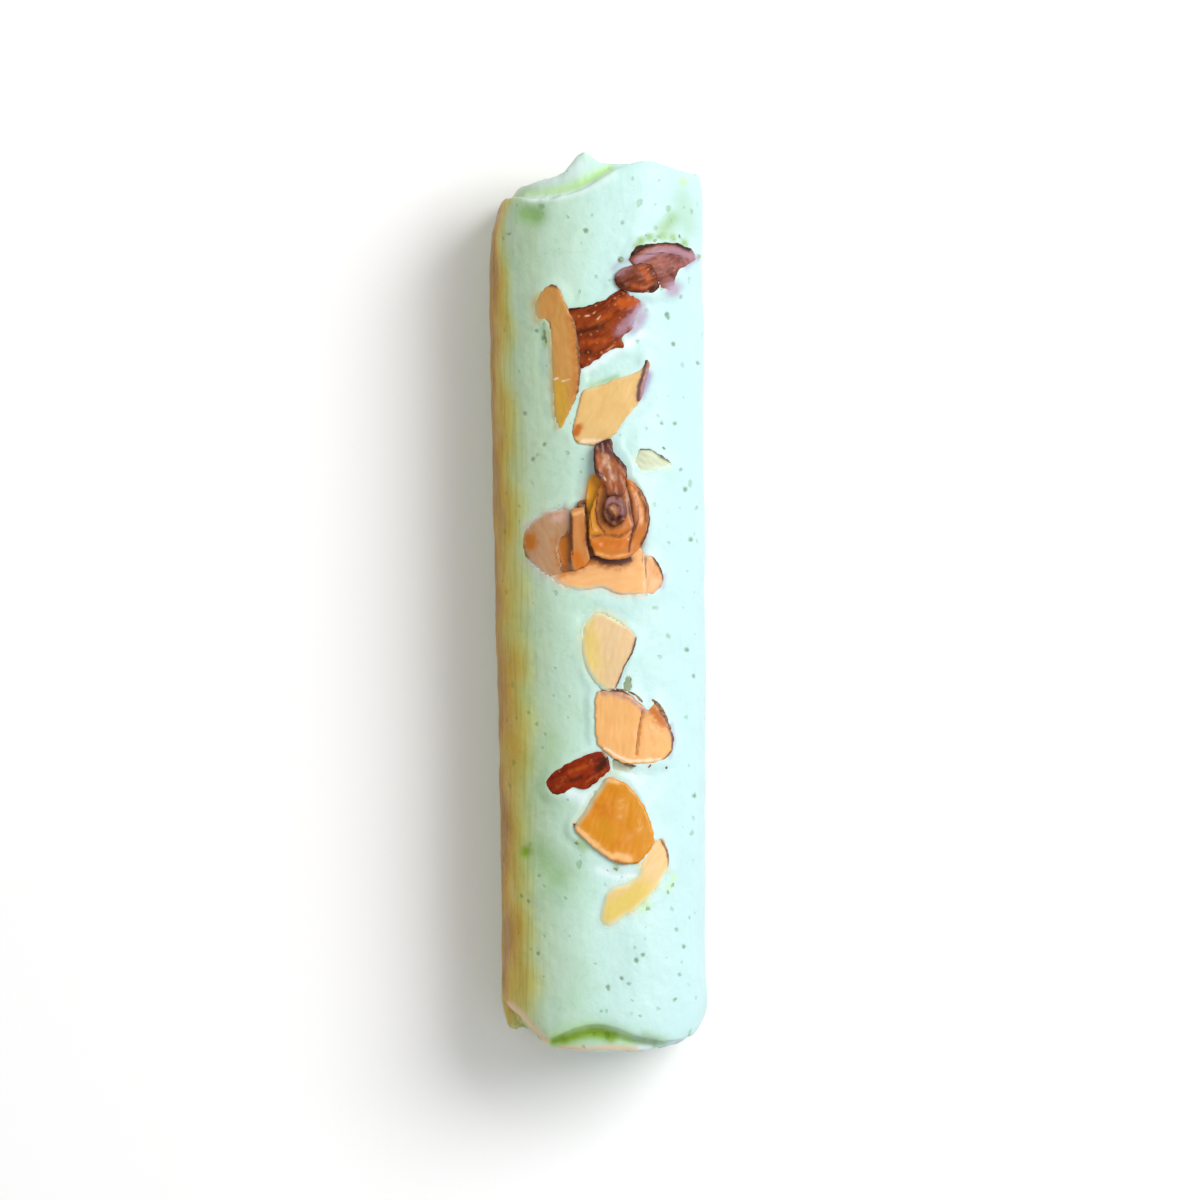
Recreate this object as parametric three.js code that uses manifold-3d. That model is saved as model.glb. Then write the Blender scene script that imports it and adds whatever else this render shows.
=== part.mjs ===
// A coconut candy roll: one soft mint-coloured bar of coconut candy lying on its flat underside,
// with broken slices of almond pressed into its top. Millimetres, +Z up, the bar along Y.
import * as THREE from "three";
import { mergeVertices } from "three/addons/utils/BufferGeometryUtils.js";
import Module from "manifold-3d";

const wasm = await Module();
wasm.setup();

// The bar's cross-section: a squashed oval, fuller above its widest line than below it.
const WIDEST_Z = 11.5;
const RISE_ABOVE = 14.3;
const DROP_BELOW = 13.5;
const ROUND_ABOVE = 2.6;
const ROUND_BELOW = 2.4;

// Its two long edges seen from above, as [y, x].
const LEFT_EDGE = [[-62, -14.9], [-54, -14.7], [-30, -15], [-12, -15.3], [4, -15.8], [28, -16.2],
  [48, -16.6], [57, -16.2], [61, -15.6]];
const RIGHT_EDGE = [[-60, 16.4], [-50, 16.1], [0, 16.1], [26, 15.8], [60, 15.7]];

// Its slow swell along the length: height in mm, and two wavelengths.
const SWELL = 0.22;
const LONG_WAVE = 57;
const SHORT_WAVE = 27;

// The far end: how far the skin, the core inside it and the foot under it reach, as [x, y].
const FAR_END = {
  side: 1,
  skin: [[-16, 60.4], [-13.9, 62], [-8.9, 61.5], [-5.9, 61.8], [-1.4, 63.5], [2, 65.8],
    [6.7, 67.3], [15, 65.6]],
  core: [[-16, 60], [-14.2, 62.2], [-11.2, 63.8], [-5.9, 65.2], [-2, 66.8], [1, 67], [6.7, 66.7], [15, 65]],
  foot: [[-16, 59.8], [-14.2, 61.8], [-8.2, 63.6], [0, 65.4], [7, 66], [15, 64.6]],
};

// The near end, where the skin is cut off slantwise at the left and the foot stands out below it.
const NEAR_END = {
  side: -1,
  skin: [[-14.8, -59.4], [-12, -61.4], [-8.9, -64.1], [-7, -65.2], [-3.6, -63.6], [0.2, -63.2],
    [3.2, -63.9], [5.5, -65], [10, -65.8], [14.2, -64.8], [16.3, -62.2]],
  core: [[-14.8, -59.2], [-10, -64], [-7.4, -66.5], [0.2, -67.1], [7.7, -67], [14.2, -64.9],
    [16.2, -61.8]],
  foot: [[-14.6, -62.8], [-13.8, -64.1], [-10.8, -64.2], [-7.4, -66], [0.2, -66.6], [7.7, -66.4],
    [14.2, -64.5], [16.2, -61.8]],
};
const END_Y = 60;
const FOOT_TOP = 6;
const SKIN_FOOT = 13;

// The little upturned tail of candy on the far end's core.
const TAIL = { x: -2.6, z: 21.4, length: 2.3, spread: 1.9, firstRing: 6 };

// Rings over each end, from the side to the middle: [share of the section, set back, share of core].
const END_RINGS = [
  [1, 6.2, 0], [1, 3.4, 0], [0.992, 1.7, 0], [0.975, 0.6, 0], [0.945, 0, 0], [0.905, 0.15, 0.05],
  [0.87, 0.6, 0.35], [0.83, 0.5, 0.75], [0.79, 0.15, 1], [0.72, 0, 1], [0.5, 0.35, 1], [0.25, 0.5, 1],
  [0, 0.55, 1],
];

// The ring that edges the underside, and how much higher above it each further ring starts.
const FOOT_RING = 4;
const RING_LIFT = 0.45;

// Rings between the ends, and points round each.
const SIDE_RINGS = 14;
const AROUND = 60;

// Air left between any two touching pieces, and how finely a slice is bent across the bar.
const GAP = 0.3;
const BEND_STEPS = 7;
const BAND_MARGIN = 1;
const PRISM_HEIGHT = 12;

// The share of the half width past which the top counts as level, the shortest mitre of a widened
// outline, and the distance within which two corners are one.
const STEEPEST_SHARE = 0.97;
const SHORTEST_MITRE = 0.6;
const SAME_CORNER = 1e-3;

// Finishes: colour and roughness.
const CANDY = { color: 0xcdeee0, roughness: 0.45 };
const FLESH = { color: 0xe0a868, roughness: 0.5 };
const PALE_FLESH = { color: 0xecc790, roughness: 0.5 };
const AMBER_FLESH = { color: 0xd98f1c, roughness: 0.42 };
const SKIN = { color: 0x8a3c18, roughness: 0.55 };
const GLAZED = { color: 0xc9d6b4, roughness: 0.4 };

// The slices, the upper ones of a heap first. rise is the top face over the candy, drape how much
// of the bar's curve the slice takes, up_near its tilt in degrees. Outlines run clockwise.
const SLICES = [
  {
    name: "husk_under", finish: SKIN, at: [5.7, 49.5], rise: 0.75, thick: 0.8, drape: 1,
    outline: [[-3.4, -0.4], [-3.2, 0.8], [-1.9, 1.7], [0.5, 2.3], [2.2, 2.1], [2.9, 0.8], [3.4, -1.4],
      [1.8, -2.2], [-0.7, -2.1], [-2.5, -1.6]],
  },
  {
    name: "husk_top", finish: SKIN, at: [10.2, 51.5], rise: 0.55, thick: 0.8, drape: 1,
    outline: [[-5.7, 0.9], [-4.4, 2.9], [0.3, 3.5], [3.4, 2.8], [4.6, 1.2], [3.1, 0], [1.8, -0.7],
      [1.3, -2.4], [1.5, -4.1], [-0.7, -3.6], [-4, -0.7]],
  },
  {
    name: "sliver_long", finish: FLESH, at: [-6.1, 38.8], rise: 0.75, thick: 1.1, drape: 0.9,
    outline: [[-1.3, 9.8], [-0.1, 9.4], [1.3, 6.5], [2.5, 4.1], [3.1, 0.4], [3.3, -3.2], [2.8, -6.8],
      [0.5, -11.7], [-0.4, -11.5], [-1, -8.2], [-1.4, 3.8], [-3.6, 4.5], [-3.9, 6.8], [-2.8, 8.6]],
  },
  {
    name: "husk_wide", finish: SKIN, at: [1.7, 42.9], rise: 0.55, thick: 0.9, drape: 1,
    outline: [[-6.4, 1.9], [-3.6, 2.4], [-1.1, 3.3], [1.5, 4.9], [3.3, 4.2], [4.7, 3.1], [5, 1.6],
      [3.8, -0.7], [1.7, -2.2], [2.1, -3.8], [0.3, -4], [-4.3, -7], [-5.5, -2.5]],
  },
  {
    name: "neck", finish: FLESH, at: [1.8, 20.7], rise: 2.1, thick: 0.7, drape: 0.8, up_near: 9,
    outline: [[-2.4, 3.7], [0, 4.6], [0.4, 2.6], [2.4, 0.4], [2.3, -1.8], [2.1, -3.6], [0.8, -4],
      [-0.7, -3.8], [-1, -2.4], [-2.3, -0.9], [-2.6, 1.6]],
  },
  {
    name: "diamond", finish: PALE_FLESH, at: [2.2, 31], rise: 0.5, thick: 1, drape: 0.9,
    outline: [[-4.5, 1.7], [-1.7, 2.5], [4, 4.7], [4.9, 6.5], [5.5, 5.5], [4.8, 2.5], [4, 0],
      [1.9, -2.4], [-0.2, -5.4], [-2.8, -6.6], [-5.5, -6.3], [-6.3, -4.8], [-5.5, -1.5]],
  },
  {
    name: "chip_pale", finish: GLAZED, at: [7.8, 21.8], rise: 0.25, thick: 0.7, drape: 1,
    outline: [[-1.6, 2], [0, 2], [3.3, 0], [1.6, -1.2], [-0.3, -2.1], [-2.2, -1.7], [-2.5, 0]],
  },
  {
    name: "curl", finish: SKIN, at: [2.4, 14.5], rise: 2.75, thick: 0.7, drape: 0.5, up_near: 4,
    outline: [[-1, 2], [0.5, 2.3], [1.5, 1.2], [1.7, -0.6], [0.9, -2], [-0.4, -2.3], [-1.5, -1.2],
      [-1.6, 0.6]],
  },
  {
    name: "disc", finish: FLESH, at: [2.7, 13.5], rise: 1.8, thick: 1, drape: 0.5, up_near: 4,
    outline: [[-1, 7], [1.5, 5.9], [3.4, 4.4], [4.6, 2.3], [5, 0], [4.7, -2.1], [3.8, -4.1],
      [2, -5.8], [-0.6, -6.4], [-2.9, -5.8], [-3.9, -4.2], [-4.2, -1.5], [-3.9, 1.2], [-2.2, 5.3]],
  },
  {
    name: "post", finish: FLESH, at: [-3.3, 10.4], rise: 1.3, thick: 0.9, drape: 0.8,
    outline: [[-0.9, 4], [0, 4.5], [1.2, 4.3], [1.6, -1], [1.9, -2.7], [1.3, -4.2], [-0.5, -4.8],
      [-0.9, -3.3]],
  },
  {
    name: "amber", finish: AMBER_FLESH, at: [-0.7, 15.3], rise: 0.3, thick: 0.8, drape: 1,
    outline: [[0.2, 4.8], [1.5, 4.5], [2.7, 3.3], [2.7, -2.1], [1.2, -5.9], [-0.7, -6.1],
      [-1.1, -2.6], [-1.4, -0.8], [-1.1, 2.6], [-0.7, 4.2]],
  },
  {
    name: "lobe", finish: GLAZED, at: [-7.3, 9.4], rise: 0.3, thick: 0.9, drape: 0.95,
    outline: [[-4.2, 0.2], [-3.8, 2.3], [-2.7, 3.9], [-0.9, 5.2], [1.4, 5.6], [3.1, 5.2], [2.9, 1.7],
      [1.7, 1.1], [0.9, -0.5], [1.7, -3], [2.6, -5], [1.1, -5.8], [-0.7, -4.8], [-2.5, -3.3],
      [-3.8, -1.7]],
  },
  {
    name: "bridge", finish: AMBER_FLESH, at: [-5.2, 8.2], rise: 0.2, thick: 0.7, drape: 1,
    outline: [[-0.5, 2.3], [0.9, 2.7], [0.9, -2.9], [0.3, -2.7], [-0.5, -1.8], [-1.2, 0.8]],
  },
  {
    name: "wing", finish: FLESH, at: [8, 5.3], rise: 0.65, thick: 0.9, drape: 0.9,
    outline: [[-0.6, 2.1], [0, 2.4], [0.9, 1.4], [1.8, -0.6], [1.4, -2.1], [0.3, -3.2],
      [-0.9, -3], [-0.9, 0.3]],
  },
  {
    name: "skirt", finish: PALE_FLESH, at: [2.7, 5], rise: 0.5, thick: 0.9, drape: 0.95,
    outline: [[-10.3, -0.5], [-8.6, 0], [-6.5, 0.5], [-4.7, 1.2], [-3.8, 2.6], [1.7, 3.2],
      [2.9, 3.9], [4, 3.9], [4.3, 1.8], [4.4, -2.7], [2.9, -3.2], [-0.1, -3], [-2.2, -2],
      [-4.1, -2.4], [-6.5, -2.7], [-8.6, -1.8]],
  },
  {
    name: "shield", finish: PALE_FLESH, at: [1.1, -6.7], rise: 0.4, thick: 0.9, drape: 0.9, up_near: 3,
    outline: [[-3.4, 4.9], [-1.9, 6.2], [-0.1, 5.9], [2.4, 4.4], [4.6, 2.1], [3.9, -0.3],
      [2.8, -2.2], [1.6, -5.3], [0.2, -6], [-1.1, -5.4], [-3.6, -1.7], [-3.9, 1.7]],
  },
  {
    name: "chip_green", finish: GLAZED, at: [4.3, -11.4], rise: 0.15, thick: 0.6, drape: 1,
    outline: [[-0.2, 2.6], [0.5, 1.2], [0.8, -1.2], [-0.1, -1.7], [-1.1, -1.1], [-0.6, 0.6]],
  },
  {
    name: "fan", finish: FLESH, at: [5.5, -18.2], rise: 0.6, thick: 1, drape: 0.9,
    outline: [[-5.8, 5.3], [-3.5, 5.8], [-1.1, 5.2], [0.7, 3.8], [1.9, 2.7], [3.2, 3.8], [4.2, 2.6],
      [5.1, 0.5], [5.9, -1.7], [5.4, -3.8], [3.8, -5], [-1.1, -5.5], [-3.4, -4.5], [-5.8, -2.3],
      [-6.1, 1.7]],
  },
  {
    name: "husk_low", finish: SKIN, at: [-2.8, -25.2], rise: 0.6, thick: 0.8, drape: 1,
    outline: [[-5.2, -1.1], [-4.2, 0.2], [-2.2, 1.5], [-0.1, 2.5], [2.1, 3.3], [3.4, 3.4],
      [4.3, 2.1], [4.3, 0.6], [1.8, -1.7], [0.5, -2.3], [-1.1, -1.9], [-2.6, -2.9], [-4.2, -2.9]],
  },
  {
    name: "chip_grey", finish: GLAZED, at: [3.3, -23.9], rise: 0.2, thick: 0.6, drape: 1,
    outline: [[-1.7, 1], [-0.2, 1.2], [2.1, -0.1], [1.1, -1.3], [-1.4, -0.8]],
  },
  {
    name: "amber_round", finish: AMBER_FLESH, at: [2.5, -32.5], rise: 0.75, thick: 1, drape: 0.85,
    outline: [[-1.4, 6.7], [0.7, 6.3], [2.5, 5], [4.8, 1.4], [5.9, -2.7], [4.9, -4.5], [3.4, -6],
      [1, -6.2], [-1.1, -5.4], [-4.5, -2.7], [-6, -1.2], [-6, 0], [-4.6, 1.7], [-3.5, 3.7]],
  },
  {
    name: "crescent", finish: PALE_FLESH, at: [5.5, -41.8], rise: 0.4, thick: 0.9, drape: 0.95,
    outline: [[2.8, 6.8], [3.9, 7.1], [4.8, 5.7], [5.1, 3.8], [4.8, 1.6], [3.7, -0.3], [0.7, -3.5],
      [-3.9, -6.5], [-5.4, -6.4], [-5.8, -5.2], [-4.9, -1.4], [-3.6, -0.3], [-0.8, 0.3],
      [1.3, 1.3], [0.4, 2.7], [1.4, 4.5]],
  },
];

const { lerp, smoothstep, degToRad } = THREE.MathUtils;

// The steepness of a line of stations at one of them, level at its two ends.
function slopeAt(stations, i) {
  if (i === 0 || i === stations.length - 1) return 0;
  const [before, after] = [stations[i - 1], stations[i + 1]];
  return (after[1] - before[1]) / (after[0] - before[0]);
}

// The value at a place on the smooth line through stations of [place, value].
function along(stations, place) {
  const last = stations.length - 1;
  if (place <= stations[0][0]) return stations[0][1];
  if (place >= stations[last][0]) return stations[last][1];
  const i = stations.findIndex(([start]) => start > place) - 1;
  const [start, from] = stations[i];
  const [stop, to] = stations[i + 1];
  const span = stop - start;
  const t = (place - start) / span;
  const leaving = (t ** 3 - 2 * t ** 2 + t) * slopeAt(stations, i);
  const arriving = (t ** 3 - t ** 2) * slopeAt(stations, i + 1);
  return lerp(from, to, t * t * (3 - 2 * t)) + span * (leaving + arriving);
}

// The slow rise and fall of the top along the bar.
function swell(y) {
  const long = Math.sin((2 * Math.PI * y) / LONG_WAVE + 0.6);
  const short = Math.sin((2 * Math.PI * y) / SHORT_WAVE + 2.1);
  return SWELL * (0.6 * long + 0.4 * short);
}

// The middle and half the width of the bar at y.
function widthAt(y) {
  const left = along(LEFT_EDGE, y);
  const right = along(RIGHT_EDGE, y);
  return { middle: (left + right) / 2, half: (right - left) / 2 };
}

// The height of the candy's top at x, y on the straight part of the bar.
function topAt(x, y) {
  const { middle, half } = widthAt(y);
  const share = Math.min(STEEPEST_SHARE, Math.abs(x - middle) / half);
  return WIDEST_Z + (RISE_ABOVE + swell(y)) * (1 - share ** ROUND_ABOVE) ** (1 / ROUND_ABOVE);
}

// A point of the cross-section at y: sideways and upward run from -1 to 1 around a circle.
function sectionPoint(sideways, upward, y) {
  const above = upward >= 0;
  const power = 2 / (above ? ROUND_ABOVE : ROUND_BELOW);
  const height = above ? RISE_ABOVE + swell(y) : DROP_BELOW;
  const { middle, half } = widthAt(y);
  const x = middle + half * Math.sign(sideways) * Math.abs(sideways) ** power;
  const z = WIDEST_Z + height * Math.sign(upward) * Math.abs(upward) ** power;
  return { x, z, middle };
}

// How far an end reaches at x and z: its foot low down, its skin or core above.
function endReach(end, x, z, coreShare) {
  const upper = lerp(along(end.skin, x), along(end.core, x), coreShare);
  return lerp(along(end.foot, x), upper, smoothstep(z, FOOT_TOP, SKIN_FOOT));
}

// How far the tail stands out of the far end at x and z.
function tailReach(x, z) {
  const away = ((x - TAIL.x) ** 2 + (z - TAIL.z) ** 2) / TAIL.spread ** 2;
  return TAIL.length * Math.exp(-away);
}

// A point of an end's ring.
function endPoint(end, ring, sideways, upward) {
  const [share, back, coreShare] = END_RINGS[ring];
  const edge = sectionPoint(sideways, upward, end.side * END_Y);
  const x = lerp(edge.middle, edge.x, share);
  const lowest = RING_LIFT * Math.max(0, ring - FOOT_RING);
  const z = Math.max(lowest, lerp(WIDEST_Z, edge.z, share));
  const tail = end.side > 0 && ring >= TAIL.firstRing ? tailReach(x, z) : 0;
  const y = endReach(end, x, z, coreShare) - end.side * back + tail;
  return new THREE.Vector3(x, y, z);
}

// A point on the side of the bar, t of the way from the near end's first ring to the far end's.
function sidePoint(t, sideways, upward) {
  const near = endPoint(NEAR_END, 0, sideways, upward);
  const far = endPoint(FAR_END, 0, sideways, upward);
  const y = lerp(near.y, far.y, t);
  const { x, z } = sectionPoint(sideways, upward, y);
  return new THREE.Vector3(x, y, Math.max(0, z));
}

// A point of the bar: ring counts from the near end's middle to the far end's.
function barPoint(ring, sideways, upward) {
  const ends = END_RINGS.length;
  const total = 2 * ends + SIDE_RINGS;
  if (ring < ends) return endPoint(NEAR_END, ends - 1 - ring, sideways, upward);
  if (ring >= total - ends) return endPoint(FAR_END, ring - (total - ends), sideways, upward);
  return sidePoint((ring - ends + 1) / (SIDE_RINGS + 1), sideways, upward);
}

// The bar as a turned tube of rings, each moved to its place.
function barGeometry() {
  const total = 2 * END_RINGS.length + SIDE_RINGS;
  const profile = [];
  for (let ring = 0; ring < total; ring += 1) {
    const radius = ring === 0 || ring === total - 1 ? 0 : 1;
    profile.push(new THREE.Vector2(radius, ring));
  }
  const geometry = new THREE.LatheGeometry(profile, AROUND);
  const places = geometry.attributes.position;
  for (let i = 0; i < places.count; i += 1) {
    const [sideways, ring, upward] = [places.getX(i), Math.round(places.getY(i)), places.getZ(i)];
    const place = barPoint(ring, sideways, upward);
    places.setXYZ(i, place.x, place.y, place.z);
  }
  return geometry;
}

// An outline with every side moved outward by a distance.
function grown(outline, distance) {
  return outline.map((point, i) => {
    const before = outline.at(i - 1);
    const after = outline[(i + 1) % outline.length];
    const [ax, ay] = [point[0] - before[0], point[1] - before[1]];
    const [bx, by] = [after[0] - point[0], after[1] - point[1]];
    const inward = new THREE.Vector2(ay, -ax).normalize();
    const next = new THREE.Vector2(by, -bx).normalize();
    const share = Math.max(SHORTEST_MITRE, 1 + inward.dot(next));
    inward.add(next).multiplyScalar(-distance / share);
    return [point[0] + inward.x, point[1] + inward.y];
  });
}

// The slice's outline as an upright prism about its middle.
function prismGeometry(outline) {
  const shape = new THREE.Shape(outline.map(([x, y]) => new THREE.Vector2(x, y)));
  const prism = new THREE.ExtrudeGeometry(shape, { depth: PRISM_HEIGHT, bevelEnabled: false });
  return prism.translate(0, 0, -PRISM_HEIGHT / 2);
}

// How far the candy's top lies over the slice's middle, across the bar, taken at the slice's drape.
function bendAt(slice, across) {
  const [x, y] = slice.at;
  const slope = topAt(x + 0.5, y) - topAt(x - 0.5, y);
  const straight = slope * across;
  return lerp(straight, topAt(x + across, y) - topAt(x, y), slice.drape);
}

// A bent band across the bar that holds the slice's thickness under its top face.
function bandGeometry(slice, gap) {
  const low = Math.min(...slice.outline.map(([x]) => x)) - BAND_MARGIN;
  const high = Math.max(...slice.outline.map(([x]) => x)) + BAND_MARGIN;
  const top = [];
  const under = [];
  for (let i = 0; i <= BEND_STEPS; i += 1) {
    const across = lerp(low, high, i / BEND_STEPS);
    const height = bendAt(slice, across);
    top.push(new THREE.Vector2(across, height + gap));
    under.unshift(new THREE.Vector2(across, height - slice.thick - gap));
  }
  const length = 2 * (Math.max(...slice.outline.map(([, y]) => Math.abs(y))) + BAND_MARGIN);
  const band = new THREE.ExtrudeGeometry(new THREE.Shape([...under, ...top]), {
    depth: length,
    bevelEnabled: false,
  });
  return band.translate(0, 0, -length / 2).rotateX(Math.PI / 2);
}

// A closed geometry as a solid, with its shared corners merged and collapsed faces dropped.
function solidOf(geometry) {
  const bare = geometry.clone();
  bare.deleteAttribute("normal");
  bare.deleteAttribute("uv");
  const merged = mergeVertices(bare, SAME_CORNER);
  const faces = merged.index.array;
  const kept = [];
  for (let i = 0; i < faces.length; i += 3) {
    const [a, b, c] = [faces[i], faces[i + 1], faces[i + 2]];
    if (a !== b && b !== c && a !== c) kept.push(a, b, c);
  }
  const vertProperties = new Float32Array(merged.attributes.position.array);
  const triVerts = new Uint32Array(kept);
  return new wasm.Manifold(new wasm.Mesh({ numProp: 3, vertProperties, triVerts }));
}

// A solid back as a geometry.
function geometryOf(solid) {
  const { vertProperties, triVerts } = solid.getMesh();
  const geometry = new THREE.BufferGeometry();
  geometry.setAttribute("position", new THREE.BufferAttribute(new Float32Array(vertProperties), 3));
  geometry.setIndex(new THREE.BufferAttribute(new Uint32Array(triVerts), 1));
  geometry.computeVertexNormals();
  return geometry;
}

// A slice of almond about its own middle, or the room it needs when gap is more than nothing.
function sliceGeometry(slice, gap) {
  const outline = gap > 0 ? grown(slice.outline, gap) : slice.outline;
  const prism = solidOf(prismGeometry(outline));
  const band = solidOf(bandGeometry(slice, gap));
  return geometryOf(prism.intersect(band));
}

// The place and tilt of a slice on the bar.
function placeOf(slice) {
  const [x, y] = slice.at;
  const position = new THREE.Vector3(x, y, topAt(x, y) + slice.rise);
  const tilt = new THREE.Euler(degToRad(-(slice.up_near ?? 0)), 0, 0);
  return { position, tilt };
}

// A mesh of a finish.
function meshOf(name, geometry, finish) {
  const material = new THREE.MeshStandardMaterial({ ...finish, metalness: 0 });
  const mesh = new THREE.Mesh(geometry, material);
  mesh.name = name;
  return mesh;
}

// A geometry moved to a slice's place, or back from it.
function moved(geometry, slice, back) {
  const { position, tilt } = placeOf(slice);
  const turn = new THREE.Quaternion().setFromEuler(tilt);
  const matrix = new THREE.Matrix4().compose(position, turn, new THREE.Vector3(1, 1, 1));
  return geometry.clone().applyMatrix4(back ? matrix.invert() : matrix);
}

// The slices as meshes, each cut clear of the ones before it, and the room they take in the candy.
function buildSlices() {
  const meshes = [];
  const rooms = [];
  for (const slice of SLICES) {
    let solid = solidOf(moved(sliceGeometry(slice, 0), slice, false));
    for (const room of rooms) solid = solid.subtract(room);
    const mesh = meshOf(slice.name, moved(geometryOf(solid), slice, true), slice.finish);
    const { position, tilt } = placeOf(slice);
    mesh.position.copy(position);
    mesh.rotation.copy(tilt);
    meshes.push(mesh);
    rooms.push(solidOf(moved(sliceGeometry(slice, GAP), slice, false)));
  }
  return { meshes, rooms };
}

// The candy bar with a pocket for every slice.
function buildBar(rooms) {
  let solid = solidOf(barGeometry());
  for (const room of rooms) solid = solid.subtract(room);
  return meshOf("candy_roll", geometryOf(solid), CANDY);
}

// The whole roll, its underside on z = 0 and the middle of its box over the origin.
function buildRoll() {
  const roll = new THREE.Group();
  const { meshes, rooms } = buildSlices();
  roll.add(buildBar(rooms), ...meshes);
  const box = new THREE.Box3().setFromObject(roll, true);
  const middle = box.getCenter(new THREE.Vector3());
  roll.position.set(-middle.x, -middle.y, -box.min.z);
  return roll;
}

export default buildRoll();
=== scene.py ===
"""A coconut candy roll: one soft mint bar of coconut candy with broken almond slices pressed into its top.

Sizes are millimetres in the bar's own plan: x across the bar, y along it, z up from its underside.
A finished mesh is moved to its place in the frame and brought to metres as the last step.
"""

import logging
import math
from collections.abc import Iterator, Sequence
from dataclasses import dataclass, field, replace
from enum import Enum

import bmesh
import bpy
import numpy as np
from mathutils import Matrix, Vector


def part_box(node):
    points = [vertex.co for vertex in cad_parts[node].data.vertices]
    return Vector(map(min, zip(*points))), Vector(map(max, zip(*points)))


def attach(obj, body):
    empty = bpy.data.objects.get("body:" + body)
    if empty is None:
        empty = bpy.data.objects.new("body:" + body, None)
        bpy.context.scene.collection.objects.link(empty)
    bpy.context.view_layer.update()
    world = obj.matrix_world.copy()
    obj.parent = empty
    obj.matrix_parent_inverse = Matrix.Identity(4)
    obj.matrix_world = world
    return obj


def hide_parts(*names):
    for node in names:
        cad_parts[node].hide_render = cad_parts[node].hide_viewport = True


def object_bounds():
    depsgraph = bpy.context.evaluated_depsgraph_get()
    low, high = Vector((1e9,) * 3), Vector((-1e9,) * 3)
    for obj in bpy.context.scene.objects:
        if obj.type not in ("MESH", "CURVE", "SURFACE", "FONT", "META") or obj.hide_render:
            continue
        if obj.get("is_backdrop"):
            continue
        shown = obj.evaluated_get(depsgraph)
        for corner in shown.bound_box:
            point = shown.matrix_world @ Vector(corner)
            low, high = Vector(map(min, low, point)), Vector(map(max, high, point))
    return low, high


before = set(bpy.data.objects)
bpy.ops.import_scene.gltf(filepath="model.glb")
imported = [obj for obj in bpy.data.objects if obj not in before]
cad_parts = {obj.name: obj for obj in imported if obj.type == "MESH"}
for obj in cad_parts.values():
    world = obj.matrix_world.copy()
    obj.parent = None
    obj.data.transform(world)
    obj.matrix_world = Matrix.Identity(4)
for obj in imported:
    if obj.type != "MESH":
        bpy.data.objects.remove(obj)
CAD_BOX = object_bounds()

Array = np.ndarray
Mesh = bmesh.types.BMesh
Piece = bpy.types.Object
Socket = bpy.types.NodeSocket
Point = tuple[float, float]
Path = tuple[Point, ...]
Rgb = tuple[int, int, int]
Band = tuple[float, float]

MM = 0.001
BODY = "root"

# A distance in millimetres that stands for out of reach.
UNSEEN = 9.0

# A slice that nothing cuts, and the middle of its outline's box in the bar's own plan.
ANCHOR_NODE = "sliver_long"
ANCHOR_MIDDLE = (-6.4, 37.85)

# How much brighter than its own colour a level surface looks under the studio light.
STUDIO_GAIN = 1.22

# The lightest surface colour, and the curve of screen colours: where its straight foot ends, the foot's
# slope, the curve's offset and its power.
LIGHTEST = 0.95
FOOT_END, FOOT_SLOPE, CURVE_OFFSET, CURVE_POWER = 0.04045, 12.92, 0.055, 2.4

# Between these a noise keeps most of its values.
NOISE_BAND = (0.3, 0.7)

# The thickness of the candy's film over which an almond takes its veiled colour, and then the candy's.
VEIL_BAND = (0.12, 0.6)
CANDY_BAND = (0.4, 0.85)


def surface_colour(seen: Rgb) -> tuple[float, float, float, float]:
    """The colour of a surface that looks like `seen` where it lies level under the studio light.

    Args:
        seen: red, green and blue from 0 to 255, as they look in the picture.

    Returns:
        The linear colour that a shader's socket takes.
    """
    shares = [part / 255 for part in seen]
    linear = [
        s / FOOT_SLOPE if s <= FOOT_END else ((s + CURVE_OFFSET) / (1 + CURVE_OFFSET)) ** CURVE_POWER
        for s in shares
    ]
    red, green, blue = (min(LIGHTEST, part / STUDIO_GAIN) for part in linear)
    return red, green, blue, 1.0


def smooth_share(value: Array, low: float, high: float) -> Array:
    """How far `value` has come from `low` to `high`, eased at both ends, from 0 to 1."""
    share = np.clip((value - low) / (high - low), 0.0, 1.0)
    return share * share * (3 - 2 * share)


@dataclass(frozen=True)
class SmoothLine:
    """A smooth line through stations of (place, value), held level past both ends."""

    stations: tuple[Point, ...]

    def at(self, place: Array) -> Array:
        """The values at places along the line.

        Args:
            place: the places.

        Returns:
            One value for each place.
        """
        places, values = np.array(self.stations, float).T
        slopes = np.zeros(len(places))
        slopes[1:-1] = (values[2:] - values[:-2]) / (places[2:] - places[:-2])
        held = np.clip(place, places[0], places[-1])
        i = np.clip(np.searchsorted(places, held, side="right") - 1, 0, len(places) - 2)
        span = places[i + 1] - places[i]
        t = (held - places[i]) / span
        straight = values[i] + (values[i + 1] - values[i]) * t * t * (3 - 2 * t)
        leaving = (t**3 - 2 * t**2 + t) * slopes[i]
        arriving = (t**3 - t**2) * slopes[i + 1]
        return straight + span * (leaving + arriving)


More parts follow.
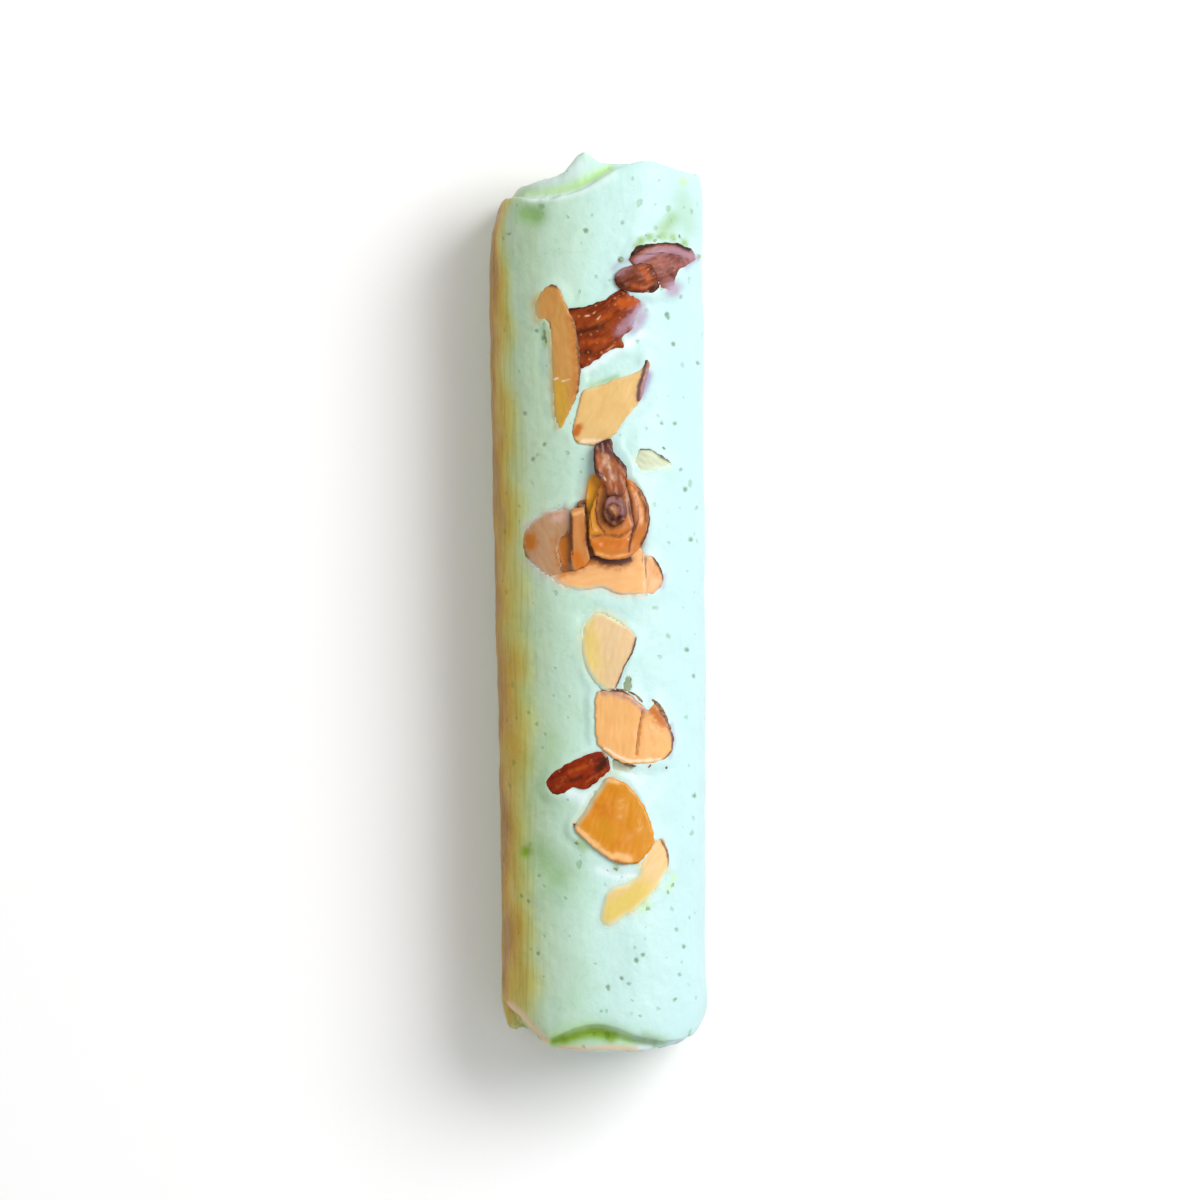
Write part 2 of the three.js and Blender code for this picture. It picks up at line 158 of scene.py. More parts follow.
@dataclass(frozen=True)
class Ripple:
    """A smooth uneven field made of plane waves with seeded directions, lengths and phases.

    Wavelengths are in millimetres, and most of the field lies between minus its depth and its depth.
    """

    seed: int
    shortest: float
    longest: float
    depth: float = 1.0
    waves: int = 28

    def at(self, points: Array) -> Array:
        """The field at points.

        Args:
            points: points of two or three coordinates.

        Returns:
            One value for each point.
        """
        draw = np.random.default_rng(self.seed)
        directions = draw.normal(size=(self.waves, 3))
        directions /= np.linalg.norm(directions, axis=1)[:, None]
        lengths = np.exp(draw.uniform(math.log(self.shortest), math.log(self.longest), self.waves))
        runs = directions * (2 * math.pi / lengths)[:, None]
        phases = draw.uniform(0, 2 * math.pi, self.waves)
        heights = np.sin(points @ runs[:, : points.shape[1]].T + phases).sum(axis=1)
        return self.depth * (heights / math.sqrt(self.waves))


def nearest_on(path: Array, points: Array) -> tuple[Array, Array]:
    """The nearest places on an open line to points in the plan.

    Args:
        path: the line's points, one or more.
        points: the points asked about.

    Returns:
        The nearest places, and the distances to them.
    """
    nearest = np.repeat(path[:1], len(points), axis=0)
    away = np.linalg.norm(points - nearest, axis=1)
    for start, stop in zip(path[:-1], path[1:]):
        run = stop - start
        share = np.clip(((points - start) @ run) / max(run @ run, 1e-12), 0, 1)
        place = start + share[:, None] * run
        distance = np.linalg.norm(points - place, axis=1)
        closer = distance < away
        nearest[closer] = place[closer]
        away = np.minimum(away, distance)
    return nearest, away


def is_inside(outline: Array, points: Array) -> Array:
    """Finds which points of the plan lie inside a closed outline.

    Args:
        outline: the outline's corners in order.
        points: the points asked about.

    Returns:
        True for each point inside.
    """
    odd = np.zeros(len(points), bool)
    x, y = points.T
    for (ax, ay), (bx, by) in zip(outline, np.roll(outline, -1, axis=0)):
        if ay == by:
            continue
        crosses = (ay > y) != (by > y)
        odd ^= crosses & (x < ax + (y - ay) * (bx - ax) / (by - ay))
    return odd


def outward_distance(outline: Array, points: Array) -> Array:
    """Measures how far points lie from a closed outline.

    Args:
        outline: the outline's corners in order.
        points: the points asked about.

    Returns:
        The distance of each point, below zero inside the outline.
    """
    closed = np.vstack([outline, outline[:1]])
    away = nearest_on(closed, points)[1]
    return np.where(is_inside(outline, points), -away, away)


class Effect(Enum):
    """What a mark does to the surface that it lies on."""

    SINK = "sink"
    LINE = "line"
    # On the candy, milk paints a white highlight of its wet sheen; on a slice it is the candy's real film
    # over it.
    MILK = "milk"
    # Violet is painted shade under the glaze at the slices' edges, and the violet of thin skin at some of
    # them.
    VIOLET = "violet"
    # This is the flesh's real toasting, and on the husks painted highlights of their gloss.
    TOAST_AND_HIGHLIGHT = "toast_and_highlight"
    # Pale is mostly painted highlights and glints, and some pale rims of the flesh.
    PALE = "pale"
    GOLD = "gold"
    # Dark is mostly the dark skin at slices' edges, and in places a painted shadow that one slice casts on
    # another.
    DARK = "dark"
    # Lime, moss and olive on the candy paint shade and light shining through in its creases, dents and beside
    # slices; olive is also the frill's green.
    LIME = "lime"
    MOSS = "moss"
    OLIVE = "olive"
    # Peach paints the highlight along the near end's lip and ridge.
    PEACH = "peach"
    # Orange shade paints orange-brown shade on the candy between and beside the heap's slices and at the near
    # end's foot.
    ORANGE_SHADE = "orange_shade"
    PIT = "pit"

    def mark(self, reach: float, strength: float, *path: Point) -> "Mark":
        """A mark with this effect."""
        return Mark(self, reach, strength, path)


@dataclass(frozen=True)
class Mark:
    """A dent, line or tint along a path in the plan.

    The strength of a dent is its depth in millimetres, and below zero it is a ridge. A line or a pit
    is twice its reach wide, and its strength isn't used.
    """

    effect: Effect
    reach: float
    strength: float
    path: Path
    rim: float = 0.6
    faded_out: float = 3.0

    def distance(self, points: Array) -> Array:
        """Measures how far points lie from the mark's path.

        Args:
            points: the points asked about.

        Returns:
            The distance of each point, or UNSEEN where it is out of reach.
        """
        path = np.array(self.path, float)
        margin = self.rim + self.faded_out * self.reach
        close = ((points > path.min(0) - margin) & (points < path.max(0) + margin)).all(axis=1)
        away = np.full(len(points), UNSEEN)
        away[close] = nearest_on(path, points[close])[1]
        return away

    def weight(self, points: Array) -> Array:
        """The mark's strength at each point, fading with the distance to its path."""
        return self.strength * np.exp(-((self.distance(points) / self.reach) ** 2))


def tint_of(marks: Sequence[Mark], effect: Effect, points: Array) -> Array:
    """Adds up the marks of one effect.

    Args:
        marks: all the marks.
        effect: the effect asked about.
        points: the points asked about.

    Returns:
        How strongly each point is tinted, from 0 to 1.
    """
    left = np.ones(len(points))
    for mark in marks:
        if mark.effect is effect:
            left *= 1 - np.clip(mark.weight(points), 0, 1)
    return 1 - left


def depth_of(marks: Sequence[Mark], points: Array) -> Array:
    """Adds up the dents and ridges.

    Args:
        marks: all the marks.
        points: the points asked about.

    Returns:
        How deep each point is sunk, in millimetres.
    """
    depth = np.zeros(len(points))
    for mark in marks:
        if mark.effect is Effect.SINK:
            depth += mark.weight(points)
    return depth


def edge_of(marks: Sequence[Mark], effect: Effect, points: Array) -> Array:
    """Measures how far points lie from the edge of the nearest line or pit.

    Args:
        marks: all the marks.
        effect: LINE or PIT.
        points: the points asked about.

    Returns:
        The distance of each point, below zero inside a line or pit.
    """
    edge = np.full(len(points), UNSEEN)
    for mark in marks:
        if mark.effect is effect:
            edge = np.minimum(edge, mark.distance(points) - mark.reach)
    return edge


def places_of(bm: Mesh) -> Array:
    """The places of a mesh's corners."""
    return np.array([vert.co for vert in bm.verts], float)


def put_places(bm: Mesh, places: Array) -> None:
    """Moves a mesh's corners to new places."""
    for vert, place in zip(bm.verts, places.tolist()):
        vert.co = place


@dataclass(frozen=True)
class Setting:
    """Where the bar's own plan lies in the frame, and how finished meshes get there."""

    shift: tuple[float, float]
    ceiling: float

    @classmethod
    def from_frame(cls) -> "Setting":
        """Finds the setting in which the anchor slice lies where its node is.

        Returns:
            The setting.
        """
        low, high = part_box(ANCHOR_NODE)
        middle = (low + high) / 2 / MM
        shift = (middle.x - ANCHOR_MIDDLE[0], middle.y - ANCHOR_MIDDLE[1])
        return cls(shift, CAD_BOX[1][2] / MM)

    def finish(self, name: str, bm: Mesh, values: dict[str, Array]) -> Piece:
        """Turns a mesh in the bar's plan into a piece of the frame.

        Args:
            name: the piece's name.
            bm: the mesh in millimetres, which is used up.
            values: a number for each corner under each attribute's name.

        Returns:
            The piece, riding on the one body.
        """
        put_places(bm, np.minimum(places_of(bm), [math.inf, math.inf, self.ceiling]))
        bmesh.ops.translate(bm, vec=(*self.shift, 0), verts=bm.verts)
        bmesh.ops.scale(bm, vec=(MM, MM, MM), verts=bm.verts)
        mesh = bpy.data.meshes.new(name)
        bm.to_mesh(mesh)
        bm.free()
        for key, numbers in values.items():
            attribute = mesh.attributes.new(key, "FLOAT", "POINT")
            attribute.data.foreach_set("value", numbers.astype(np.float32))
        mesh.shade_smooth()
        piece = bpy.data.objects.new(name, mesh)
        bpy.context.scene.collection.objects.link(piece)
        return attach(piece, BODY)


@dataclass(frozen=True)
class Clouds:
    """Soft clouds: size in millimetres, finer layers, the noise band they fade in over, and strength.

    A stretch makes them longer along each axis of the object, turned about z.
    """

    size: float
    layers: float
    band: Band
    most: float = 1.0
    stretch: tuple[float, float, float] | None = None


@dataclass(frozen=True)
class Bubbles:
    """Scattered small uneven pits or flecks.

    Attributes:
        size: the mean distance between their possible places in millimetres.
        few: the share of those places that stay empty.
        wide: the largest radius of a pit, as a share of that distance.
        most: how strongly a pit is tinted.
    """

    size: float
    few: float
    wide: float
    most: float


class Board:
    """A material's node board, with a method for each kind of step."""

    # How large and how deep the crumple of a bubble's rim is, as shares of the bubbles' distance.
    CRUMPLE = (0.35, 0.3)

    # The step between a place that stays empty and one that doesn't, and the width of a bubble's rim.
    CHANCE_STEP = 0.02
    BUBBLE_RIM = 0.09

    def __init__(self, name: str) -> None:
        """Starts a material with its shader and the object's own coordinates.

        Args:
            name: the material's name.
        """
        self.material = bpy.data.materials.new(name)
        self.material.use_nodes = True
        self.tree = self.material.node_tree
        self.shader = self.tree.nodes["Principled BSDF"]
        self.places = self.add("ShaderNodeTexCoord").outputs["Object"]

    def add(self, kind: str, **settings: object) -> bpy.types.Node:
        """Adds a node.

        Args:
            kind: Blender's name for the kind of node.
            settings: values of the node's own settings.

        Returns:
            The node.
        """
        node = self.tree.nodes.new(kind)
        for key, value in settings.items():
            setattr(node, key, value)
        return node

    def give(self, socket: Socket, value: object) -> None:
        """Links another node's output to a socket, or sets the socket to a number or colour.

        Args:
            socket: the socket.
            value: the output, number or colour.
        """
        if isinstance(value, Socket):
            self.tree.links.new(value, socket)
        else:
            socket.default_value = value

    def attribute(self, name: str) -> Socket:
        """A number that each corner of the mesh holds."""
        return self.add("ShaderNodeAttribute", attribute_name=name).outputs["Fac"]

    def stretched(self, stretch: tuple[float, float, float], turn: float) -> Socket:
        """Turns and stretches the object's coordinates.

        Args:
            stretch: how many times longer the pattern is along each axis.
            turn: the pattern's turn about z in degrees.

        Returns:
            The new coordinates.
        """
        turned = self.add("ShaderNodeMapping", vector_type="POINT")
        self.give(turned.inputs["Vector"], self.places)
        turned.inputs["Rotation"].default_value = (0, 0, math.radians(-turn))
        scaled = self.add("ShaderNodeMapping", vector_type="POINT")
        self.give(scaled.inputs["Vector"], turned.outputs["Vector"])
        scaled.inputs["Scale"].default_value = tuple(1 / part for part in stretch)
        return scaled.outputs["Vector"]

    def noise(self, size: float, detail: float = 2.0, **way: object) -> Socket:
        """Cloudy noise.

        Args:
            size: the size of its clouds in millimetres.
            detail: how many finer layers lie on it.
            way: stretch and turn of the pattern, if it isn't even all ways.

        Returns:
            The noise from 0 to 1.
        """
        node = self.add("ShaderNodeTexNoise")
        self.give(node.inputs["Vector"], self.stretched(**way) if way else self.places)
        node.inputs["Scale"].default_value = 1 / (size * MM)
        node.inputs["Detail"].default_value = detail
        return node.outputs["Fac"]

    def crumpled(self, size: float, amount: float) -> Socket:
        """Pushes the object's coordinates about.

        Args:
            size: the size of the pushing noise in millimetres.
            amount: the longest push in millimetres.

        Returns:
            The new coordinates.
        """
        noise = self.add("ShaderNodeTexNoise")
        self.give(noise.inputs["Vector"], self.places)
        noise.inputs["Scale"].default_value = 1 / (size * MM)
        push = self.add("ShaderNodeVectorMath", operation="MULTIPLY_ADD")
        self.give(push.inputs[0], noise.outputs["Color"])
        push.inputs[1].default_value = (amount * MM,) * 3
        self.give(push.inputs[2], self.places)
        return push.outputs["Vector"]

    def bubbles(self, kind: Bubbles) -> Socket:
        """Scatters bubbles.

        Args:
            kind: their sizes.

        Returns:
            1 in a bubble and 0 outside it.
        """
        size, depth = (share * kind.size for share in self.CRUMPLE)
        node = self.add("ShaderNodeTexVoronoi")
        self.give(node.inputs["Vector"], self.crumpled(size, depth))
        node.inputs["Scale"].default_value = 1 / (kind.size * MM)
        chance = self.add("ShaderNodeSeparateColor")
        self.give(chance.inputs["Color"], node.outputs["Color"])
        there = self.span(chance.outputs["Red"], kind.few, kind.few + self.CHANCE_STEP)
        radius = self.span(chance.outputs["Green"], 0, 1, kind.wide / 3, kind.wide)
        inside = self.math("SUBTRACT", radius, node.outputs["Distance"])
        return self.math("MULTIPLY", there, self.span(inside, 0, self.BUBBLE_RIM))

    def math(self, operation: str, first: object, second: object) -> Socket:
        """Does one step of arithmetic.

        Args:
            operation: Blender's name for the step.
            first: the first number or output.
            second: the second one.

        Returns:
            The result.
        """
        node = self.add("ShaderNodeMath", operation=operation)
        self.give(node.inputs[0], first)
        self.give(node.inputs[1], second)
        return node.outputs[0]

    def span(
        self, value: object, low: float, high: float, start: float = 0.0, stop: float = 1.0
    ) -> Socket:
        """Turns a value's way from low to high, eased at both ends, into a number.

        Args:
            value: the value.
            low: where the way starts.
            high: where it ends, below low for a falling one.
            start: the number at low.
            stop: the number at high.

        Returns:
            The number.
        """
        node = self.add("ShaderNodeMapRange", interpolation_type="SMOOTHSTEP")
        self.give(node.inputs["Value"], value)
        bounds = {"From Min": low, "From Max": high, "To Min": start, "To Max": stop}
        for key, bound in bounds.items():
            node.inputs[key].default_value = bound
        return node.outputs["Result"]

    def blend(self, share: object, first: object, second: object) -> Socket:
        """Mixes two colours.

        Args:
            share: how much of the second colour there is.
            first: the first colour.
            second: the second colour.

        Returns:
            The mixed colour.
        """
        node = self.add("ShaderNodeMix", data_type="RGBA")
        self.give(node.inputs[0], share)
        self.give(node.inputs[6], first)
        self.give(node.inputs[7], second)
        return node.outputs[2]

    def shade(self, share: object, colour: object, factor: Rgb) -> Socket:
        """Darkens a colour by a tint.

        Args:
            share: how strong the tint is.
            colour: the colour.
            factor: the tint, 255 where it leaves the colour as it is.

        Returns:
            The darkened colour.
        """
        node = self.add("ShaderNodeMix", data_type="RGBA", blend_type="MULTIPLY")
        self.give(node.inputs[0], share)
        self.give(node.inputs[6], colour)
        self.give(node.inputs[7], (*[part / 255 for part in factor], 1))
        return node.outputs[2]

    def clouded(
        self, colour: object, tint: Rgb, clouds: Clouds, where: object = 1.0, turn: float = 0.0
    ) -> tuple[Socket, Socket]:
        """Darkens a colour by clouds.

        Args:
            colour: the colour.
            tint: the clouds' tint, as in shade.
            clouds: their size and strength.
            where: a share for each place by which they are weaker.
            turn: the turn of their stretch about z in degrees.

        Returns:
            The clouded colour, and the noise that the clouds follow.
        """
        way = {"stretch": clouds.stretch, "turn": turn} if clouds.stretch else {}
        noise = self.noise(clouds.size, clouds.layers, **way)
        share = self.math("MULTIPLY", self.span(noise, *clouds.band, 0, clouds.most), where)
        return self.shade(share, colour, tint), noise

    def ramp(self, value: object, stops: Sequence[tuple[float, Rgb]]) -> Socket:
        """Makes a colour that follows a value through stops.

        Args:
            value: the value from 0 to 1.
            stops: each stop's place, and its colour as it looks in the picture.

        Returns:
            The colour.
        """
        node = self.add("ShaderNodeValToRGB")
        self.give(node.inputs["Fac"], value)
        elements = node.color_ramp.elements
        while len(elements) < len(stops):
            elements.new(1.0)
        for element, (place, seen) in zip(elements, stops):
            element.position = place
            element.color = surface_colour(seen)
        return node.outputs["Color"]

    def bump(self, height: object, depth: float, below: object = None) -> Socket:
        """Adds a relief.

        Args:
            height: the relief's height from 0 to 1.
            depth: its depth in millimetres.
            below: another relief that it lies on, if there is one.

        Returns:
            The surface's normal.
        """
        node = self.add("ShaderNodeBump")
        self.give(node.inputs["Height"], height)
        node.inputs["Distance"].default_value = depth * MM
        if below is not None:
            self.give(node.inputs["Normal"], below)
        return node.outputs["Normal"]

    def dress(self, piece: Piece, colour: object, normal: object, **numbers: object) -> None:
        """Finishes the material and gives it to a piece.

        Args:
            piece: the piece.
            colour: the base colour.
            normal: the normal of its relief.
            numbers: values of the shader's other sockets, by their names in small letters.
        """
        self.give(self.shader.inputs["Base Color"], colour)
        self.give(self.shader.inputs["Normal"], normal)
        for key, number in numbers.items():
            socket = key.replace("_", " ").title().replace("Ior", "IOR")
            self.give(self.shader.inputs[socket], number)
        piece.data.materials.append(self.material)


@dataclass(frozen=True)
class CandyFinish:
    """Soft mint candy: satin, moist, a little translucent, with painted shade and warm reflected light in
    ochre and olive down its left flank.
    """

    slot: str = "candy"
    # From the right edge to the left: mint on the top, then olive and ochre on the left flank, which are
    # painted shade and warm reflected light.
    across: tuple[tuple[float, Rgb], ...] = (
        (0.0, (194, 228, 230)), (0.15, (202, 235, 233)), (0.3, (203, 238, 229)), (0.475, (197, 228, 209)),
        (0.636, (190, 218, 194)), (0.72, (191, 212, 176)), (0.79, (198, 208, 142)), (0.846, (204, 196, 104)),
        (0.909, (204, 174, 58)), (0.965, (190, 144, 18)), (1.0, (170, 122, 2)),
    )
    # Painted light shining green through thin candy in the ends' creases, and green patches by the crescent.
    lime: Rgb = (196, 240, 154)
    # Painted shade deep in the near end's crease and in a dent on the left.
    moss: Rgb = (132, 168, 14)
    # Painted shade in the creases and dents, beside the slices and on the left of the top, and the green of
    # the frill by husk_top.
    olive: Rgb = (150, 192, 124)
    # Painted highlight along the near end's lip and ridge.
    peach: Rgb = (236, 200, 168)
    # Painted shade, orange-brown, between and beside the heap's slices and at the near end's left foot.
    orange_shade: Rgb = (168, 92, 20)
    # Painted highlight of the wet sheen on the lips and round the slices.
    milk: Rgb = (232, 250, 251)
    # Painted shade, violet, at the slices' edges.
    violet: Rgb = (160, 146, 184)
    pit: Rgb = (110, 146, 106)
    # Painted shadow of the long sliver on the candy beside it.
    line: Rgb = (70, 80, 40)

    # The parts of the ramp over which the streaks of the painted flank shade begin, and over which the clouds
    # grow stronger.
    shaded_flank: Band = (0.62, 0.9)
    cloudier: Band = (0.05, 0.5)
    least_cloudy: float = 0.25

    # Each tint and the clouds that it makes.
    streaks: tuple[Rgb, Clouds] = ((206, 190, 130), Clouds(0.7, 4, (0.48, 0.6), 0.65, (0.7, 18, 3)))
    clouds: tuple[Rgb, Clouds] = ((222, 236, 218), Clouds(7, 3, (0.48, 0.72), 0.8))
    mottles: tuple[Rgb, Clouds] = ((212, 230, 210), Clouds(1.3, 3, (0.54, 0.7), 0.5))
    wide_pits: tuple[Rgb, Bubbles] = ((152, 186, 142), Bubbles(3.8, 0.3, 0.2, 0.8))
    small_pits: tuple[Rgb, Bubbles] = ((166, 198, 160), Bubbles(1.9, 0.6, 0.23, 0.65))

    # The edges of marked pits and lines, and how strongly they are tinted.
    pit_edge: Band = (0.26, -0.14)
    pit_most: float = 0.8
    line_edge: Band = (0.12, -0.08)
    line_most: float = 0.7

    # Each relief's size, finer layers and depth, and the depths of the streaks and pits.
    reliefs: tuple[tuple[float, float, float], ...] = ((0.6, 3, 0.05), (2.6, 2, 0.14))
    streak_depth: float = 0.22
    pit_depth: float = 0.08

    # How rough it is, from its smoothest to its dullest parts, and the size of those.
    roughness: Band = (0.38, 0.54)
    part_size: float = 3.0

    def dress(self, piece: Piece) -> None:
        """Dresses the bar.

        Args:
            piece: the bar, with its place across the ramp, a number for each tint, pit and line.
        """
        board = Board("mint_candy")
        place = board.attribute("across")
        shaded_flank = board.span(place, *self.shaded_flank)
        cloudier = board.span(place, *self.cloudier, self.least_cloudy, 1)
        colour, streaks = board.clouded(board.ramp(place, self.across), *self.streaks, shaded_flank)
        for clouds in (self.clouds, self.mottles):
            colour, _ = board.clouded(colour, *clouds, cloudier)
        # Painted shade, light shining through and highlights of the creases, lips, dents and slices' edges,
        # with the frill's green.
        for key in ("olive", "lime", "moss", "peach", "milk", "violet"):
            colour = board.blend(board.attribute(key), colour, surface_colour(getattr(self, key)))
        film = board.add("ShaderNodeCombineColor")
        for channel in ("Red", "Green", "Blue"):
            board.give(film.inputs[channel], board.attribute(f"film_{channel.lower()}"))
        colour = board.blend(board.attribute("film"), colour, film.outputs["Color"])
        # Painted orange-brown shade between the heap's slices and at the near end's foot.
        colour = board.blend(board.attribute("orange_shade"), colour, surface_colour(self.orange_shade))
        holes = []
        for tint, bubbles in (self.wide_pits, self.small_pits):
            holes.append(board.bubbles(bubbles))
            colour = board.shade(board.math("MULTIPLY", holes[-1], bubbles.most), colour, tint)
        pit = board.math("MULTIPLY", board.span(board.attribute("pit"), *self.pit_edge), self.pit_most)
        colour = board.blend(pit, colour, surface_colour(self.pit))
        # The painted shadow beside the long sliver.
        line = board.math("MULTIPLY", board.span(board.attribute("line"), *self.line_edge), self.line_most)
        colour = board.blend(line, colour, surface_colour(self.line))
        normal = None
        for size, layers, depth in self.reliefs:
            normal = board.bump(board.noise(size, layers), depth, normal)
        normal = board.bump(board.math("MULTIPLY", shaded_flank, streaks), self.streak_depth, normal)
        whole = board.math("SUBTRACT", 1.0, board.math("MAXIMUM", *holes))
        normal = board.bump(whole, self.pit_depth, normal)
        board.dress(
            piece, colour, normal,
            roughness=board.span(board.noise(self.part_size, 2), *NOISE_BAND, *self.roughness),
            subsurface_weight=0.3, subsurface_radius=(1.0, 1.0, 0.8), subsurface_scale=0.0012,
            specular_ior_level=0.3, coat_weight=0.08, coat_roughness=0.25,
        )


@dataclass(frozen=True)
class AlmondFinish:
    """One kind of almond surface: how it takes tints and light, and how it is wrinkled."""

    label: str
    slot: str
    # Real toasting on the flesh; on the husks, painted highlights of their gloss.
    toast_and_highlight: Rgb
    # Mostly painted highlights and glints, and some pale rims of the flesh.
    pale: Rgb
    gold: Rgb
    line: Rgb
    veil: Rgb
    streak: Rgb
    wrinkle: float
    fibre: float
    film: float
    roughness: float
    coat: float
    shine: float
    # Flecks on the husks are painted glints of their gloss.
    flecks: Bubbles | None = None
    # Painted shade under the glaze at the edges, and the violet of thin skin at some of them.
    violet: Rgb = (172, 130, 142)
    candy: Rgb = (206, 240, 230)
    streaks: Clouds = Clouds(0.8, 3, (0.42, 0.66), stretch=(5, 1, 1))
    clouds: Clouds = Clouds(2.4, 3, (0.42, 0.7), 0.8)

    # The noise that tears the tints' edges, and the way from a torn tint to its strength.
    torn: Clouds = Clouds(0.8, 4, NOISE_BAND, 0.3)
    crisp: tuple[float, float, float, float] = (0.15, 0.6, 0.4, 1.2)

    line_edge: Band = (0.1, -0.06)
    grain_size: float = 0.35
    grain_depth: float = 0.015
    smoother: float = 0.07
    duller: float = 0.08

    def dress(self, piece: Piece, tint: Rgb, veil: Rgb, grain: float) -> None:
        """Dresses a slice.

        Args:
            piece: the slice, with a number for each tint and line.
            tint: its own colour as it looks in the picture.
            veil: its colour under a thin film of candy.
            grain: the direction of its grain in degrees from x.
        """
        board = Board(f"{self.label}_{piece.name}")
        colour, streaks = board.clouded(surface_colour(tint), self.streak, self.streaks, turn=grain)
        colour, clouds = board.clouded(colour, self.streak, self.clouds)
        torn_noise = board.noise(self.torn.size, self.torn.layers)
        torn = board.span(torn_noise, *self.torn.band, -self.torn.most, self.torn.most)
        # Toast on the husks and the pale marks are largely painted highlights; violet and some dark marks are
        # painted shade.
        tints = {"gold": self.gold, "toast_and_highlight": self.toast_and_highlight, "violet": self.violet, "dark": self.line}
        for key, seen in {**tints, "pale": self.pale}.items():
            share = board.attribute(key)
            crisp = board.span(board.math("ADD", share, torn), *self.crisp)
            colour = board.blend(board.math("MULTIPLY", share, crisp), colour, surface_colour(seen))
        # Painted glints on the husks' gloss.
        if self.flecks:
            flecks = board.math("MULTIPLY", board.bubbles(self.flecks), self.flecks.most)
            colour = board.blend(flecks, colour, surface_colour(self.gold))
        line = board.span(board.attribute("line"), *self.line_edge)
        colour = board.blend(line, colour, surface_colour(self.line))
        milk = board.attribute("milk")
        colour = board.blend(board.span(milk, *VEIL_BAND), colour, surface_colour(veil))
        colour = board.blend(board.span(milk, *CANDY_BAND), colour, surface_colour(self.candy))
        normal = board.bump(streaks, self.fibre)
        normal = board.bump(board.noise(self.grain_size, 2), self.grain_depth, normal)
        rough = (self.roughness - self.smoother, self.roughness + self.duller)
        board.dress(
            piece, colour, normal,
            roughness=board.span(clouds, *NOISE_BAND, *rough),
            subsurface_weight=0.15, subsurface_radius=(1.0, 0.5, 0.2), subsurface_scale=0.0008,
            specular_ior_level=self.shine, coat_weight=self.coat, coat_roughness=0.2,
        )


FLESH = AlmondFinish(
    label="flesh", slot="almond_flesh", toast_and_highlight=(206, 100, 14), pale=(255, 226, 190),
    gold=(204, 158, 48), line=(98, 44, 16), veil=(216, 204, 156), streak=(244, 230, 208),
    wrinkle=0.025, fibre=0.04, film=0.2, roughness=0.42, coat=0.15, shine=0.25,
)
PALE_FLESH = AlmondFinish(
    label="pale_flesh", slot="almond_flesh", toast_and_highlight=(196, 104, 14), pale=(255, 232, 205),
    gold=(230, 203, 106), line=(98, 54, 40), veil=(232, 228, 180), streak=(249, 240, 224),
    wrinkle=0.015, fibre=0.018, film=0.28, roughness=0.44, coat=0.12, shine=0.25,
)
AMBER_FLESH = AlmondFinish(
    label="amber_flesh", slot="almond_flesh", toast_and_highlight=(208, 112, 0), pale=(248, 192, 124),
    gold=(216, 144, 10), line=(96, 44, 18), veil=(226, 212, 164), streak=(252, 238, 210),
    wrinkle=0.02, fibre=0.02, film=0.25, roughness=0.4, coat=0.25, shine=0.25,
)
# The husk's toast tint and its flecks paint highlights of its gloss.
HUSK = AlmondFinish(
    label="husk", slot="almond_skin", toast_and_highlight=(192, 88, 24), pale=(240, 184, 140),
    gold=(220, 142, 88), line=(58, 24, 8), veil=(184, 160, 182), streak=(156, 108, 78),
    wrinkle=0.08, fibre=0.08, film=0.06, roughness=0.4, coat=0.06, shine=0.12,
    flecks=Bubbles(0.9, 0.3, 0.3, 0.4),
)
DEEP_HUSK = replace(
    HUSK, label="deep_husk", gold=(206, 106, 30), flecks=Bubbles(0.9, 0.3, 0.3, 0.35),
)
TORN_FLESH = replace(
    FLESH, label="torn_flesh", line=(74, 30, 26), streak=(214, 176, 150), wrinkle=0.07, fibre=0.07,
)
GLAZED = AlmondFinish(
    label="glazed", slot="almond_glazed", toast_and_highlight=(188, 108, 6), pale=(214, 172, 156),
    gold=(226, 208, 130), line=(92, 84, 34), veil=(206, 214, 186), streak=(238, 232, 220),
    wrinkle=0.02, fibre=0.015, film=0.42, roughness=0.4, coat=0.2, shine=0.25,
)


@dataclass
class BarEnd:
    """One rough end of the bar: how far its skin, the core inside it and the foot under it reach."""

    side: int
    skin: SmoothLine
    core: SmoothLine
    foot: SmoothLine


@dataclass(frozen=True)
class Bed:
    """How the candy holds a slice. Lengths are in millimetres, and bands in shares of its film.

    Attributes:
        covers: the film from which the candy laps over the slice's edge, and where it laps fully.
        lap: how high the candy then stands over the edge.
        dive: how far it stays below a bare edge, as a multiple of the slice's wrinkles.
        dive_width: how far in from the edge the dive is full.
        least: how high the candy stands over the slice where its film is full.
        film: the film over which the candy rises through the slice.
        thin: how much lower the candy lies for each unit that the film falls short.
        gap: how high the bed lies over the slice's underside.
        rise: the film over which the bed rises from there.
        width: how far in from the slice's edge the bed begins.
    """

    covers: Band = (0.2, 0.55)
    lap: float = 0.05
    dive: float = 1.5
    dive_width: float = 0.3
    least: float = 0.06
    film: Band = (0.6, 0.85)
    thin: float = 0.8
    gap: float = 0.1
    rise: Band = (0.3, 0.55)
    width: float = 0.45


